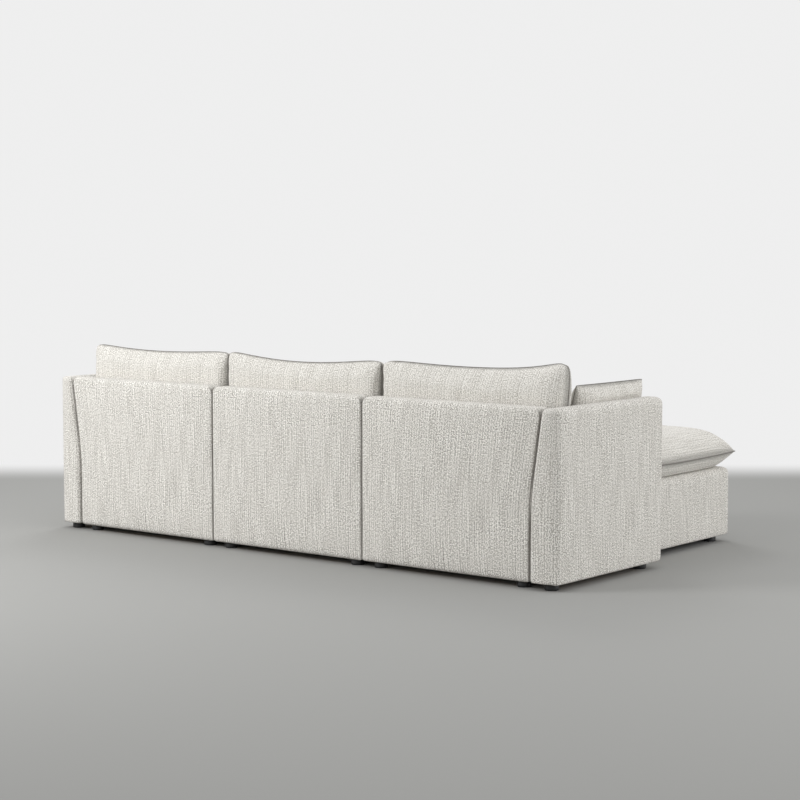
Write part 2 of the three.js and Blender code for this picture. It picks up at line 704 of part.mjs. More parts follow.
// The two arms
for (const [name, side] of [['left', 1], ['right', -1]]) {
  const x = side * (ROW_HALF + ARM_BASE_THICKNESS / 2);
  const places = { front: [x, FRONT_Y + FOOT_INSET], rear: [x, REAR_Y - FOOT_INSET] };
  const outline = armOutline(side);
  const cover = coverOver(outline, [REAR_Y, FRONT_Y], ARM_COVER_WALL, ARM_REAR_RADIUS, ARM_FRONT_RADIUS);
  addPiece(`${name}_arm_cover`, cover, fabric);
  const bores = Object.values(places).map((place) => footBore(...place));
  addPiece(`${name}_arm_frame`, armFrame(side, outline, bores), plywood);
  addFeet(`${name}_arm`, places);
}

// The plates that join the units and the arms
addPiece('left_arm_plate', joiningPlate(ROW_HALF), steel);
addPiece('left_middle_plate', joiningPlate(SEAT_WIDTH / 2), steel);
addPiece('middle_right_plate', joiningPlate(-SEAT_WIDTH / 2), steel);
addPiece('right_arm_plate', joiningPlate(-ROW_HALF), steel);

// The ottoman
const ottomanX = [-SEAT_WIDTH - OTTOMAN_WIDTH / 2, -SEAT_WIDTH + OTTOMAN_WIDTH / 2];
const ottomanY = [OTTOMAN_FRONT_Y, OTTOMAN_REAR_Y];
const ottomanFeet = {
  front_right: [ottomanX[0] + FOOT_INSET, ottomanY[0] + FOOT_INSET],
  front_left: [ottomanX[1] - FOOT_INSET, ottomanY[0] + FOOT_INSET],
  rear_right: [ottomanX[0] + FOOT_INSET, ottomanY[1] - FOOT_INSET],
  rear_left: [ottomanX[1] - FOOT_INSET, ottomanY[1] - FOOT_INSET],
};
const ottomanBores = Object.values(ottomanFeet).map((place) => footBore(...place));
addPiece('ottoman_base_cover', baseCover(ottomanX, ottomanY), fabric);
addPiece('ottoman_base_frame', baseFrame(ottomanX, ottomanY, ottomanBores), plywood);
addPiece('ottoman_webbing', webbingMat(ottomanX, ottomanY), webbing);
addPiece('ottoman_dust_cloth', dustCloth(ottomanX, ottomanY, Object.values(ottomanFeet), []), cloth);
addPiece('ottoman_cushion', ottomanCushion(), fabric);
addFeet('ottoman', ottomanFeet);

export default sofa;
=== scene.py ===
"""Looks for a packed modular sofa: its covers, cushions, welts, feet, finishes and studio.

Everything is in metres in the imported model's frame: +Z is up, the sofa faces -Y, and a
sitter's left is +X, so the ottoman that makes the chaise stands at -X.
"""

from __future__ import annotations

import json
import logging
import math
from dataclasses import dataclass
from enum import Enum, IntEnum
from typing import Iterable, Sequence

import bpy
import numpy as np
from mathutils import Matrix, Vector, noise
from mathutils.bvhtree import BVHTree

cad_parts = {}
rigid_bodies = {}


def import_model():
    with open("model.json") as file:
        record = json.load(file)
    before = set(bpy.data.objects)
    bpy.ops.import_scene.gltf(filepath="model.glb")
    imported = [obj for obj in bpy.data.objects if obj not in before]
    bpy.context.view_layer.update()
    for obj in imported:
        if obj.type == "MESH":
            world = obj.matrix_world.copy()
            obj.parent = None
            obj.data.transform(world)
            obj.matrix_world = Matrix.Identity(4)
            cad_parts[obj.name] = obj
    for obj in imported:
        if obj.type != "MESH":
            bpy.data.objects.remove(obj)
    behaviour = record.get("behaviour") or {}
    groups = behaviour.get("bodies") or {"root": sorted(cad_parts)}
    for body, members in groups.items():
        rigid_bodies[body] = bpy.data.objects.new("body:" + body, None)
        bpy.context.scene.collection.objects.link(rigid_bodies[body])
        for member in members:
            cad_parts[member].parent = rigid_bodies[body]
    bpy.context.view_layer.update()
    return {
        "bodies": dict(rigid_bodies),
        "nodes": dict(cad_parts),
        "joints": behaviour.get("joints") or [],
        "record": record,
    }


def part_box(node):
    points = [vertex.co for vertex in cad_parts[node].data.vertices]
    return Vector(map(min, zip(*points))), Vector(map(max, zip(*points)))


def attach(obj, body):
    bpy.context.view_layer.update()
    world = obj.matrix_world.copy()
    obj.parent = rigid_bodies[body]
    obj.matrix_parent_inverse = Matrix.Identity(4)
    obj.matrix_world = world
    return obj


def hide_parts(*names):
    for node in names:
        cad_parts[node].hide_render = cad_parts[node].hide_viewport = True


log = logging.getLogger("sofa")

Colour = tuple[float, float, float, float]
Four = tuple[float, float, float, float]
Triple = tuple[float, float, float]
Pair = tuple[float, float]
Array = np.ndarray
Material = bpy.types.Material
Object = bpy.types.Object
Socket = bpy.types.NodeSocket

WEAVE_MAP = "Weave"
# A point attribute that the fabric paints as shade, along cushion seams and the joints between covers.
SEAM_SHADE = "seam_shade"


class Slot(Enum):
    """The record's material slots."""

    UPHOLSTERY = "upholstery"
    CUSHION = "cushion"
    PILLOW = "pillow"
    PLYWOOD = "plywood"
    WEBBING = "webbing"
    DUST_CLOTH = "dust_cloth"
    STEEL = "steel"
    FOOT = "foot"


class Side(IntEnum):
    """A cover's four upright sides, in the order that its rings pass them."""

    FRONT = 0
    LEFT = 1
    REAR = 2
    RIGHT = 3

    @property
    def axis(self) -> int:
        """Returns the axis that the side looks along."""
        return 1 if self in (Side.FRONT, Side.REAR) else 0

    @property
    def sign(self) -> int:
        """Returns which way along that axis it looks."""
        return 1 if self in (Side.LEFT, Side.REAR) else -1


# --------------------------------------------------------------------------------------
# Finishes
# --------------------------------------------------------------------------------------


class Nodes:
    """A node tree, with short ways to add nodes and join them."""

    def __init__(self, tree: bpy.types.NodeTree) -> None:
        """Takes over a tree and empties it."""
        self.tree = tree
        tree.nodes.clear()

    def add(self, kind: str, inputs: dict | None = None, **settings: object) -> bpy.types.Node:
        """Adds a node.

        Args:
            kind: The node's type.
            inputs: Sockets by name or number, each with a value or another node's output.
            settings: The node's own properties.

        Returns:
            The new node.
        """
        node = self.tree.nodes.new(kind)
        for key, value in settings.items():
            setattr(node, key, value)
        for key, value in (inputs or {}).items():
            if isinstance(value, Socket):
                self.tree.links.new(value, node.inputs[key])
            else:
                node.inputs[key].default_value = value
        return node

    def made(self, kind: str, inputs: dict | None = None, **settings: object) -> Socket:
        """Adds a node as add does, and returns its first output."""
        return self.add(kind, inputs, **settings).outputs[0]

    def maths(self, operation: str, *values: object) -> Socket:
        """Joins values by one operation, and returns the result."""
        return self.made("ShaderNodeMath", dict(enumerate(values)), operation=operation)


class Shader(Nodes):
    """A material's node tree, with the patterns that the finishes share."""

    def __init__(self, name: str) -> None:
        """Starts an empty material.

        Args:
            name: The material's name.
        """
        self.material = bpy.data.materials.new(name)
        self.material.use_nodes = True
        super().__init__(self.material.node_tree)

    def noise(self, vector: Socket, scale: float, detail: float = 2.0) -> Socket:
        """Returns the value of a noise pattern read at a vector."""
        return self.made("ShaderNodeTexNoise", {"Vector": vector, "Scale": scale, "Detail": detail})

    def spread(self, value: Socket, low: float, high: float, **settings: str) -> Socket:
        """Spreads the range from low to high over 0 to 1, and clamps the rest."""
        inputs = {"Value": value, "From Min": low, "From Max": high}
        return self.made("ShaderNodeMapRange", inputs, **settings)

    def blend(self, share: object, first: object, second: object) -> Socket:
        """Returns a colour between two others, by a share from 0 to 1."""
        inputs = {0: share, 6: first, 7: second}
        return self.add("ShaderNodeMix", inputs, data_type="RGBA").outputs[2]

    def relief(self, height: Socket, depth: float, below: Socket | None = None) -> Socket:
        """Returns a normal that shows a height pattern.

        Args:
            height: The pattern, from 0 to 1.
            depth: How deep it is, in metres.
            below: The normal that it is laid over, if any.

        Returns:
            The normal.
        """
        over = {} if below is None else {"Normal": below}
        return self.made("ShaderNodeBump", {"Height": height, "Distance": depth} | over)

    def places(self, stretch: Triple = (1.0, 1.0, 1.0)) -> Socket:
        """Returns the place in the object's own frame, scaled along each axis."""
        place = self.add("ShaderNodeTexCoord").outputs["Object"]
        return self.made("ShaderNodeMapping", {"Vector": place, "Scale": stretch})

    def close(self, colour: Socket, roughness: object, normal: Socket, **others: float) -> Material:
        """Adds the surface and its output.

        Args:
            colour: The surface's colour.
            roughness: Its roughness, as a value or a pattern.
            normal: Its normal.
            others: More of its inputs, with _ for each space.

        Returns:
            The finished material.
        """
        inputs = {"Base Color": colour, "Roughness": roughness, "Normal": normal}
        inputs |= {name.replace("_", " "): value for name, value in others.items()}
        self.add("ShaderNodeOutputMaterial", {"Surface": self.made("ShaderNodeBsdfPrincipled", inputs)})
        return self.material


@dataclass(frozen=True)
class WovenFabric:
    """A ribbed, slubby weave: uneven threads with paler and darker stretches along the warp."""

    name: str
    base: Colour
    pale: Colour
    dark: Colour
    thread: float = 0.0017
    slub: Pair = (0.0037, 0.160)
    slub_slip: float = 0.38
    slub_share: float = 0.18
    fleck: Pair = (0.0037, 0.0052)
    fleck_share: float = 0.82
    rib: float = 0.0115
    rib_push: float = 3.0
    rib_share: float = 0.055
    contrast: float = 0.07
    wear: float = 0.3
    wear_scale: float = 9.0
    slub_relief: float = 0.0007
    weave_relief: float = 0.0005
    # How strongly painted shade darkens the seams, and how dark its shadow tone is.
    seam_shadow: float = 0.55
    seam_shadow_tone: float = 0.4
    roughness: float = 0.93

    SHEEN = {"Specular_IOR_Level": 0.25, "Sheen_Weight": 0.12, "Sheen_Roughness": 0.5}

    def build(self) -> Material:
        """Lays out the weave, its mottling, its wear and the painted shade in its seams.

        Returns:
            The fabric's material, which reads the weave map in metres.
        """
        shader = Shader(self.name)
        places = shader.made("ShaderNodeUVMap", uv_map=WEAVE_MAP)
        across, along = shader.add("ShaderNodeSeparateXYZ", {0: places}).outputs[:2]
        slip = self.slub[1] * self.slub_slip / self.slub[0]
        slipped = shader.maths("MULTIPLY_ADD", across, slip, along)
        slubs = shader.noise(self._cells(shader, across, slipped, self.slub), 1.0, 0.0)
        flecks = shader.noise(self._cells(shader, across, along, self.fleck), 1.0, 1.0)
        pushed = shader.maths("MULTIPLY", slubs, self.rib_push)
        turns = shader.maths("MULTIPLY_ADD", across, math.tau / self.rib, pushed)
        ribs = shader.maths("MULTIPLY", shader.maths("SINE", turns), self.rib_share / 2)
        threads = shader.maths("MULTIPLY_ADD", flecks, self.fleck_share, ribs)
        threads = shader.maths("MULTIPLY_ADD", slubs, self.slub_share, threads)
        pale = shader.blend(shader.spread(threads, 0.5, 0.5 + self.contrast), self.base, self.pale)
        mottled = shader.blend(shader.spread(threads, 0.5, 0.5 - self.contrast), pale, self.dark)
        tone = shader.noise(places, self.wear_scale)
        worn = shader.maths("MULTIPLY", shader.spread(tone, 0.7, 0.3), self.wear)
        # Painted shade: the seam_shade attribute darkens the colour towards a shadow tone along seams and
        # joints.
        shade = shader.add("ShaderNodeAttribute", attribute_name=SEAM_SHADE).outputs["Fac"]
        deep = shader.maths("MULTIPLY", shade, self.seam_shadow)
        shadow = tuple(part * self.seam_shadow_tone for part in self.dark[:3]) + (1.0,)
        colour = shader.blend(deep, shader.blend(worn, mottled, self.base), shadow)
        coarse = shader.relief(slubs, self.slub_relief)
        fine = shader.relief(self._weave(shader, across, along, flecks), self.weave_relief, coarse)
        return shader.close(colour, self.roughness, fine, **self.SHEEN)

    @staticmethod
    def _cells(shader: Shader, across: Socket, along: Socket, size: Pair) -> Socket:
        """Returns coordinates that count patches of a size, given across and along the warp."""
        parts = {0: shader.maths("DIVIDE", across, size[0]), 1: shader.maths("DIVIDE", along, size[1])}
        return shader.made("ShaderNodeCombineXYZ", parts)

    def _weave(self, shader: Shader, across: Socket, along: Socket, flecks: Socket) -> Socket:
        """Weaves threads that cross over and under each other.

        Args:
            shader: The material's nodes.
            across: The place across the warp, in metres.
            along: The place along the warp.
            flecks: The pattern that makes the threads uneven.

        Returns:
            The threads' height, from 0 to 1.
        """
        turn = math.tau / self.thread
        warp, weft = (shader.maths("SINE", shader.maths("MULTIPLY", run, turn)) for run in (across, along))
        level = shader.maths("MULTIPLY_ADD", shader.maths("MULTIPLY", warp, weft), 0.25, 0.4)
        return shader.maths("MULTIPLY_ADD", flecks, 0.6, level)


@dataclass(frozen=True)
class Plywood:
    """Sanded plywood, with long grain and the edge's thin plies."""

    name: str = "plywood"
    early: Colour = (0.56, 0.38, 0.20, 1.0)
    late: Colour = (0.36, 0.22, 0.10, 1.0)
    ply: float = 0.0015

    def build(self) -> Material:
        """Lays the plies' lines and a few knots over the grain.

        Returns:
            The wood's material.
        """
        shader = Shader(self.name)
        grain = shader.noise(shader.places((7.0, 7.0, 90.0)), 1.0, 6.0)
        knots = shader.noise(shader.places((3.0, 3.0, 9.0)), 1.0, 3.0)
        wave = {0: shader.places(), "Scale": 0.05 / self.ply}
        plies = shader.add("ShaderNodeTexWave", wave).outputs["Fac"]
        share = shader.maths("MULTIPLY_ADD", plies, 0.2, shader.spread(grain, 0.3, 0.75))
        wood = shader.blend(share, self.early, self.late)
        colour = shader.blend(shader.spread(knots, 0.62, 0.75), wood, self.late)
        rough = shader.maths("MULTIPLY_ADD", grain, 0.2, 0.55)
        return shader.close(colour, rough, shader.relief(grain, 0.0004))


@dataclass(frozen=True)
class BandFabric:
    """Elastic webbing: thick ribs across a striped woven band."""

    name: str = "webbing"
    base: Colour = (0.30, 0.24, 0.15, 1.0)
    stripe: Colour = (0.10, 0.07, 0.04, 1.0)
    rib: float = 0.0025

    def build(self) -> Material:
        """Lays stripes and fuzz over the ribs.

        Returns:
            The band's material.
        """
        shader = Shader(self.name)
        places = shader.places()
        wave = {0: places, "Scale": 0.05 / self.rib, "Distortion": 0.4}
        ribs = shader.add("ShaderNodeTexWave", wave, bands_direction="DIAGONAL").outputs["Fac"]
        fuzz = shader.noise(places, 900.0)
        striped = shader.blend(shader.spread(ribs, 0.2, 0.9), self.stripe, self.base)
        colour = shader.blend(shader.spread(fuzz, 0.8, 0.3), striped, self.stripe)
        return shader.close(colour, 0.9, shader.relief(ribs, 0.0006, shader.relief(fuzz, 0.0003)))


@dataclass(frozen=True)
class Pattern:
    """A noise in the object's own frame, which may be stretched into a grain."""

    scale: float = 1.0
    detail: float = 2.0
    stretch: Triple = (1.0, 1.0, 1.0)

    def read(self, shader: Shader) -> Socket:
        """Returns the pattern's value."""
        return shader.noise(shader.places(self.stretch), self.scale, self.detail)


@dataclass(frozen=True)
class Mottled:
    """A finish in two mottled colours, with a fine grain and perhaps dimples in its surface.

    Its roughness is a share of the mottle above a least one.
    """

    name: str
    base: Colour
    other: Colour
    mottle: Pattern
    limits: Pair
    grain: Pattern
    depth: float
    rough: Pair
    metallic: float = 0.0
    dimples: float = 0.0

    DIMPLE_RELIEF = 0.0003

    def build(self) -> Material:
        """Mottles the two colours, and lays the grain and the dimples over each other.

        Returns:
            The finish's material.
        """
        shader = Shader(self.name)
        mottle = self.mottle.read(shader)
        normal = shader.relief(self.grain.read(shader), self.depth)
        if self.dimples:
            inputs = {"Vector": shader.places(), "Scale": self.dimples}
            cells = shader.made("ShaderNodeTexVoronoi", inputs)
            normal = shader.relief(cells, self.DIMPLE_RELIEF, normal)
        colour = shader.blend(shader.spread(mottle, *self.limits), self.base, self.other)
        share, least = self.rough
        rough = shader.maths("MULTIPLY_ADD", mottle, share, least) if share else least
        return shader.close(colour, rough, normal, Metallic=self.metallic)


class Finishes:
    """The sofa's materials, each built once."""

    UPHOLSTERY = WovenFabric(
        "upholstery_weave", (0.66, 0.638, 0.592, 1.0), (0.96, 0.940, 0.895, 1.0), (0.31, 0.292, 0.262, 1.0)
    )
    CUSHION = WovenFabric(
        "cushion_weave", (0.69, 0.668, 0.622, 1.0), (0.90, 0.882, 0.838, 1.0), (0.42, 0.400, 0.362, 1.0)
    )
    # The welt is made of the cushions' pale fabric; this much darker colour is painted shade, standing in
    # for the shadow along the seams.
    SHADED_WELT = WovenFabric(
        "shaded_welt_weave", (0.16, 0.15, 0.137, 1.0), (0.28, 0.27, 0.25, 1.0), (0.08, 0.075, 0.068, 1.0)
    )
    FELT = Mottled(
        name="dust_cloth",
        base=(0.016, 0.016, 0.017, 1.0),
        other=(0.045, 0.045, 0.047, 1.0),
        mottle=Pattern(700.0, 5.0),
        limits=(0.35, 0.7),
        grain=Pattern(700.0, 5.0),
        depth=0.0002,
        rough=(0.0, 0.96),
        dimples=450.0,
    )
    STEEL = Mottled(
        name="pressed_steel",
        base=(0.42, 0.43, 0.45, 1.0),
        other=(0.22, 0.23, 0.25, 1.0),
        mottle=Pattern(60.0, 3.0),
        limits=(0.4, 0.65),
        grain=Pattern(1.0, 4.0, (20.0, 900.0, 900.0)),
        depth=0.0001,
        rough=(0.3, 0.25),
        metallic=1.0,
    )
    PLASTIC = Mottled(
        name="moulded_plastic",
        base=(0.010, 0.010, 0.011, 1.0),
        other=(0.05, 0.05, 0.05, 1.0),
        mottle=Pattern(1.0, 5.0, (60.0, 60.0, 400.0)),
        limits=(0.62, 0.8),
        grain=Pattern(1800.0, 2.0),
        depth=0.0001,
        rough=(0.25, 0.38),
    )

    def __init__(self) -> None:
        """Builds every finish."""
        # welt holds the welt's darkened fabric, which paints shade along the seams.
        self.upholstery, self.cushion, self.welt = (
            fabric.build() for fabric in (self.UPHOLSTERY, self.CUSHION, self.SHADED_WELT)
        )
        self.plain = {
            Slot.PLYWOOD: Plywood().build(),
            Slot.WEBBING: BandFabric().build(),
            Slot.DUST_CLOTH: self.FELT.build(),
            Slot.STEEL: self.STEEL.build(),
            Slot.FOOT: self.PLASTIC.build(),
        }

    def dress_nodes(self, frame: dict) -> None:
        """Gives each CAD node its finish.
        """
        slots = {part["node"]: part["material_slot"] for part in frame["record"]["subparts"]}
        for name, node in frame["nodes"].items():
            node.data.materials.clear()
            node.data.materials.append(self.plain.get(Slot(slots[name]), self.upholstery))


# --------------------------------------------------------------------------------------
# Meshes
# --------------------------------------------------------------------------------------


def placed(name: str, data: bpy.types.ID) -> Object:
    """Shows some data in the scene.

    Args:
        name: The new object's name.
        data: A mesh, a lamp or a camera.

    Returns:
        The new object.
    """
    made = bpy.data.objects.new(name, data)
    bpy.context.scene.collection.objects.link(made)
    return made


def mesh_object(
    name: str,
    points: Sequence,
    edges: Sequence = (),
    faces: Sequence = (),
    material: Material | None = None,
) -> Object:
    """Makes a mesh and shows it in the scene.

    Args:
        name: Its name.
        points: Its points.
        edges: Pairs of points that are joined, where there is no face.
        faces: The points of each face.
        material: Its finish, if it has one. It is then smooth shaded.

    Returns:
        The object.
    """
    mesh = bpy.data.meshes.new(name)
    mesh.from_pydata(points, edges, faces)
    if material is not None:
        mesh.shade_smooth()
        mesh.materials.append(material)
    mesh.update()
    return placed(name, mesh)


def cells_of(grid: Array) -> Array:
    """Returns the four corners of each cell of a grid, in a new third axis."""
    return np.stack([grid[:-1, :-1], grid[1:, :-1], grid[1:, 1:], grid[:-1, 1:]], 2)


def run_along(points: Array) -> Array:
    """Returns how far along a line each of its points lies."""
    return np.concatenate([[0], np.cumsum(np.linalg.norm(np.diff(points, axis=0), axis=1))])


def eased(past: float, soft: float) -> float:
    """Returns how far past a bend something is, eased from 0 over a soft stretch."""
    return soft * (math.log1p(math.exp(-abs(past / soft))) + max(past / soft, 0.0))


class Draft:
    """A mesh before it is made: its points, and grids of quads laid over them."""

    def __init__(self) -> None:
        """Starts with nothing."""
        self.points: list[Array] = []
        self.quads: list[Array] = []
        self.weave: list[Array] = []

    def lay(self, index: Array, weave: Array, turned: bool = False) -> None:
        """Lays a grid of quads.

        Args:
            index: The number of the point at each crossing of the grid.
            weave: The place on the weave of each crossing, in the third axis.
            turned: Whether the quads look the other way.
        """
        step = -1 if turned else 1
        self.quads.append(cells_of(index)[:, :, ::step].reshape(-1, 4))
        self.weave.append(cells_of(weave)[:, :, ::step].reshape(-1, 2))

    def make(self, name: str, material: Material) -> Object:
        """Makes the object, smooth shaded, with its weave map.

        Args:
            name: The object's name.
            material: Its finish.

        Returns:
            The object.
        """
        points, quads = np.concatenate(self.points), np.concatenate(self.quads)
        made = mesh_object(name, points.tolist(), (), quads.tolist(), material)
        weave = np.concatenate(self.weave).astype(np.float32)
        made.data.uv_layers.new(name=WEAVE_MAP).uv.foreach_set("vector", weave.ravel())
        return made


def rows_of(items: Sequence, key: str) -> Array:
    """Reads a vector that each item holds.

    Args:
        items: A mesh's points or normals.
        key: The vector's name.

    Returns:
        One row for each item.
    """
    values = np.empty(len(items) * 3, np.float32)
    items.foreach_get(key, values)
    return values.reshape(-1, 3).astype(float)


def places_of(piece: Object) -> Array:
    """Returns a mesh's points, one row each."""
    return rows_of(piece.data.vertices, "co")


def normals_of(piece: Object) -> Array:
    """Returns a mesh's outward directions at its points, one row each."""
    return rows_of(piece.data.vertex_normals, "vector")


def set_places(piece: Object, places: Array) -> None:
    """Moves a mesh's points to new places, one row each."""
    piece.data.vertices.foreach_set("co", places.astype(np.float32).ravel())
    piece.data.update()


def waviness(places: Array, wavelength: float, seed: float) -> Array:
    """Reads smooth noise at each place.

    Args:
        places: One place in each row, in metres.
        wavelength: How far apart the waves are, in metres.
        seed: A number that picks the pattern.

    Returns:
        One value from -1 to 1 for each place.
    """
    shift = Vector((seed, -seed, seed / 2))
    return np.array([noise.noise(Vector(place) / wavelength + shift) for place in places])


def shade_seams(piece: Object, values: Array) -> None:
    """Stores how deep in a seam's shadow each point lies, from 0 to 1, for the fabric to paint as shade."""
    layer = piece.data.attributes.new(SEAM_SHADE, "FLOAT", "POINT")
    layer.data.foreach_set("value", values.astype(np.float32))


def surface_of(piece: Object) -> BVHTree:
    """Returns a mesh's faces in a form that rays can be cast at."""
    faces = [tuple(face.vertices) for face in piece.data.polygons]
    return BVHTree.FromPolygons(places_of(piece).tolist(), faces)


def hang(
    piece: Object, body: str, nodes: Sequence[str] = ()
) -> None:
    """Hangs a piece on its body, and reports it.

    Args:
        piece: The piece.
        body: The body that it rides on.
        nodes: The CAD nodes that it replaces.
    """
    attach(piece, body)
    if nodes:
        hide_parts(*nodes)
    log.info("%s: %d faces", piece.name, len(piece.data.polygons))


def geometry_tree(name: str, **kinds: str) -> tuple[Nodes, Sequence[Socket], dict[str, str]]:
    """Starts a geometry node tree.

    Args:
        name: The tree's name.
        kinds: The type of each input socket beside the geometry, by the input's name.

    Returns:
        The tree, its inputs' sockets, and the identifiers of those other inputs by name.
    """
    tree = bpy.data.node_groups.new(name, "GeometryNodeTree")
    for way in ("INPUT", "OUTPUT"):
        tree.interface.new_socket("Geometry", in_out=way, socket_type="NodeSocketGeometry")
    keys = {
        key: tree.interface.new_socket(key, in_out="INPUT", socket_type=kind).identifier
        for key, kind in kinds.items()
    }
    nodes = Nodes(tree)
    return nodes, nodes.add("NodeGroupInput").outputs, keys


def bake_nodes(made: Object, tree: bpy.types.NodeTree, inputs: dict[str, object]) -> None:
    """Runs a geometry node tree on an object, and keeps the result as its mesh.

    Args:
        made: The object.
        tree: The node tree.
        inputs: The tree's inputs, by identifier.
    """
    live = made.modifiers.new(tree.name, "NODES")
    live.node_group = tree
    for key, value in inputs.items():
        live[key] = value
    graph = bpy.context.evaluated_depsgraph_get()
    mesh = bpy.data.meshes.new_from_object(made.evaluated_get(graph))
    made.modifiers.clear()
    made.data = mesh


# --------------------------------------------------------------------------------------
# Pulled covers: the fabric and padding over a base, a back or an arm
# --------------------------------------------------------------------------------------


@dataclass(frozen=True)
class Swell:
    """How far a padded side stands proud in its middle, and how square its outline is."""

    height: float
    proud: float
    power: float = 8.0
    rise_power: float = 8.0


@dataclass(frozen=True)
class PulledCover:
    """A padded cover, pulled down over a frame and open below.

    Its rings are rounded rectangles, one at each height. Lists of four go round the
    corners or sides in the order of Side, and a corner comes before its side. Ends that
    face a neighbour get painted shade: the fabric darkens where the surface turns sideways
    into the joint between them.
    """

    name: str
    node: str
    low: Triple
    high: Triple
    corners: Four
    top_edges: Four
    swells: dict[Side, Swell]
    over_from: Side
    body: str = "sofa"
    lower_edges: Four = (0.009,) * 4
    lean: Triple = (0.0, 0.0, 0.0)
    lean_side: Side | None = None
    arch: Pair = (0.0, 0.0)
    shaded_ends: bool = False
    wall: float = 0.0178
    cell: float = 0.011
    seed: float = 1.0

    ARC_CELLS = 8
    LEAST_RADIUS = 0.0008
    LEAN_SOFT = 0.03
    WAVES = ((0.16, 0.0010), (0.055, 0.0004))
    SHADED_FROM = 0.45
    SHADED_TO = 0.85
    ARCH_REACH = 0.075
    ARCH_CREST = 0.22
    ARCH_POWER = 3
    FILL = 0.95

    def build(self, material: Material) -> None:
        """Makes the cover, draws its fabric in by slight waves, and hangs it on its body.

        Args:
            material: The fabric.
        """
        piece = self._draft().make(self.name, material)
        places = places_of(piece)
        depth = sum(size * (1 + waviness(places, length, self.seed)) / 2 for length, size in self.WAVES)
        set_places(piece, places - normals_of(piece) * depth[:, None])
        # Painted shade: where the surface turns sideways into the joint with a neighbour, the fabric is
        # darkened.
        if self.shaded_ends:
            sideways = np.abs(normals_of(piece)[:, 0])
            shade = (sideways - self.SHADED_FROM) / (self.SHADED_TO - self.SHADED_FROM)
            shade_seams(piece, np.clip(shade, 0, 1))
        hang(piece, self.body, (self.node,))

    def _levels(self) -> Array:
        """Spaces the outer rings, close together on the rounded edges.

        Returns:
            The rings' heights.
        """
        turn = np.linspace(0, math.pi / 2, self.ARC_CELLS + 1)
        below = self.low[2] + max(self.lower_edges) * (1 - np.cos(turn))
        above = self.high[2] - max(self.top_edges) * (1 - np.sin(turn))
        count = max(2, round((above[0] - below[-1]) / self.cell))
        return np.concatenate([below, np.linspace(below[-1], above[0], count + 1)[1:-1], above])

    def _insets(self, height: float) -> Array:
        """Rounds the edges above and below.

        Args:
            height: A ring's height.

        Returns:
            How far each side is drawn in there.
        """
        drawn = np.zeros(4)
        rooms = (self.high[2] - height, height - self.low[2])
        for edges, room in zip((self.top_edges, self.lower_edges), rooms):
            radii = np.array(edges)
            past = np.clip(radii - room, 0, radii)
            drawn += radii - np.sqrt(np.maximum(radii**2 - past**2, 0))
        return drawn

    def _ring(self, height: float, insets: Array, sharp: bool = False) -> Array:
        """Lays one ring.

        Args:
            height: The ring's height.
            insets: How far each side is drawn in.
            sharp: Whether its corners stay sharp, as the inner ones do.

        Returns:
            The points, anticlockwise seen from above, from the corner before the front.
        """
        inward = insets.copy()
        if self.lean_side is not None:
            reach, bend, top = self.lean
            inward[self.lean_side] -= reach * eased(height - bend, self.LEAN_SOFT) / (top - bend)
        x0, x1 = self.low[0] + inward[Side.RIGHT], self.high[0] - inward[Side.LEFT]
        y0, y1 = self.low[1] + inward[Side.FRONT], self.high[1] - inward[Side.REAR]
        most = min(x1 - x0, y1 - y0) / 2 - self.LEAST_RADIUS
        tips = ((x0, y0), (x1, y0), (x1, y1), (x0, y1))
        arcs = []
        for corner, signs in enumerate(((1, 1), (-1, 1), (-1, -1), (1, -1))):
            drawn = max(insets[corner], insets[corner - 1])
            radius = min(max(self.corners[corner] - drawn, self.LEAST_RADIUS), most)
            radius = self.LEAST_RADIUS if sharp else radius
            turn = math.pi + math.pi / 2 * (corner + np.linspace(0, 1, self.ARC_CELLS + 1))
            centre = np.add(tips[corner], np.multiply(signs, radius))
            arcs.append(centre + radius * np.stack([np.cos(turn), np.sin(turn)], 1))
        ring = []
        for side in Side:
            start, end = arcs[side][-1], arcs[(side + 1) % 4][0]
            shares = np.linspace(0, 1, self._cells(side) + 1)[1:-1, None]
            ring += [arcs[side], start + (end - start) * shares]
        flat = np.concatenate(ring)
        return np.column_stack([flat, np.full(len(flat), height)])

    def _cells(self, side: Side) -> int:
        """Returns how many cells lie along a side, not counting its corners."""
        return max(2, round((self.high[1 - side.axis] - self.low[1 - side.axis]) / self.cell))

    def _swollen(self, ring: Array) -> Array:
        """Moves a ring's sides out where their padding stands proud.

        Args:
            ring: The ring's points.

        Returns:
            The moved points.
        """
        moved = ring.copy()
        low, high = np.array(self.low), np.array(self.high)
        shares = (2 * ring - low - high) / (high - low)
        rise = np.abs(shares[0, 2])
        shares = np.clip(shares, -1, 1)
        for side, swell in self.swells.items():
            near = np.clip((side.sign * shares[:, side.axis] - 0.5) * 2, 0, 1)
            across = 1 - np.abs(shares[:, 1 - side.axis]) ** swell.power
            form = across * (1 - rise**swell.rise_power)
            moved[:, side.axis] += side.sign * near * (swell.height * (form - 1) + swell.proud)
        drop, draw = self.arch
        if drop:
            away = self.over_from.sign
            out = np.clip((1 + away * shares[:, 0]) / 2, 0, 1)
            fall = np.clip((out - self.ARCH_CREST) / (1 - self.ARCH_CREST), 0, 1)
            rear = np.clip(1 - (self.high[1] - ring[:, 1]) / self.ARCH_REACH, 0, 1)
            moved[:, 1] -= rear * drop * fall**self.ARCH_POWER
            moved[:, 0] -= away * draw * rear**2 * out**self.ARCH_POWER
        return moved

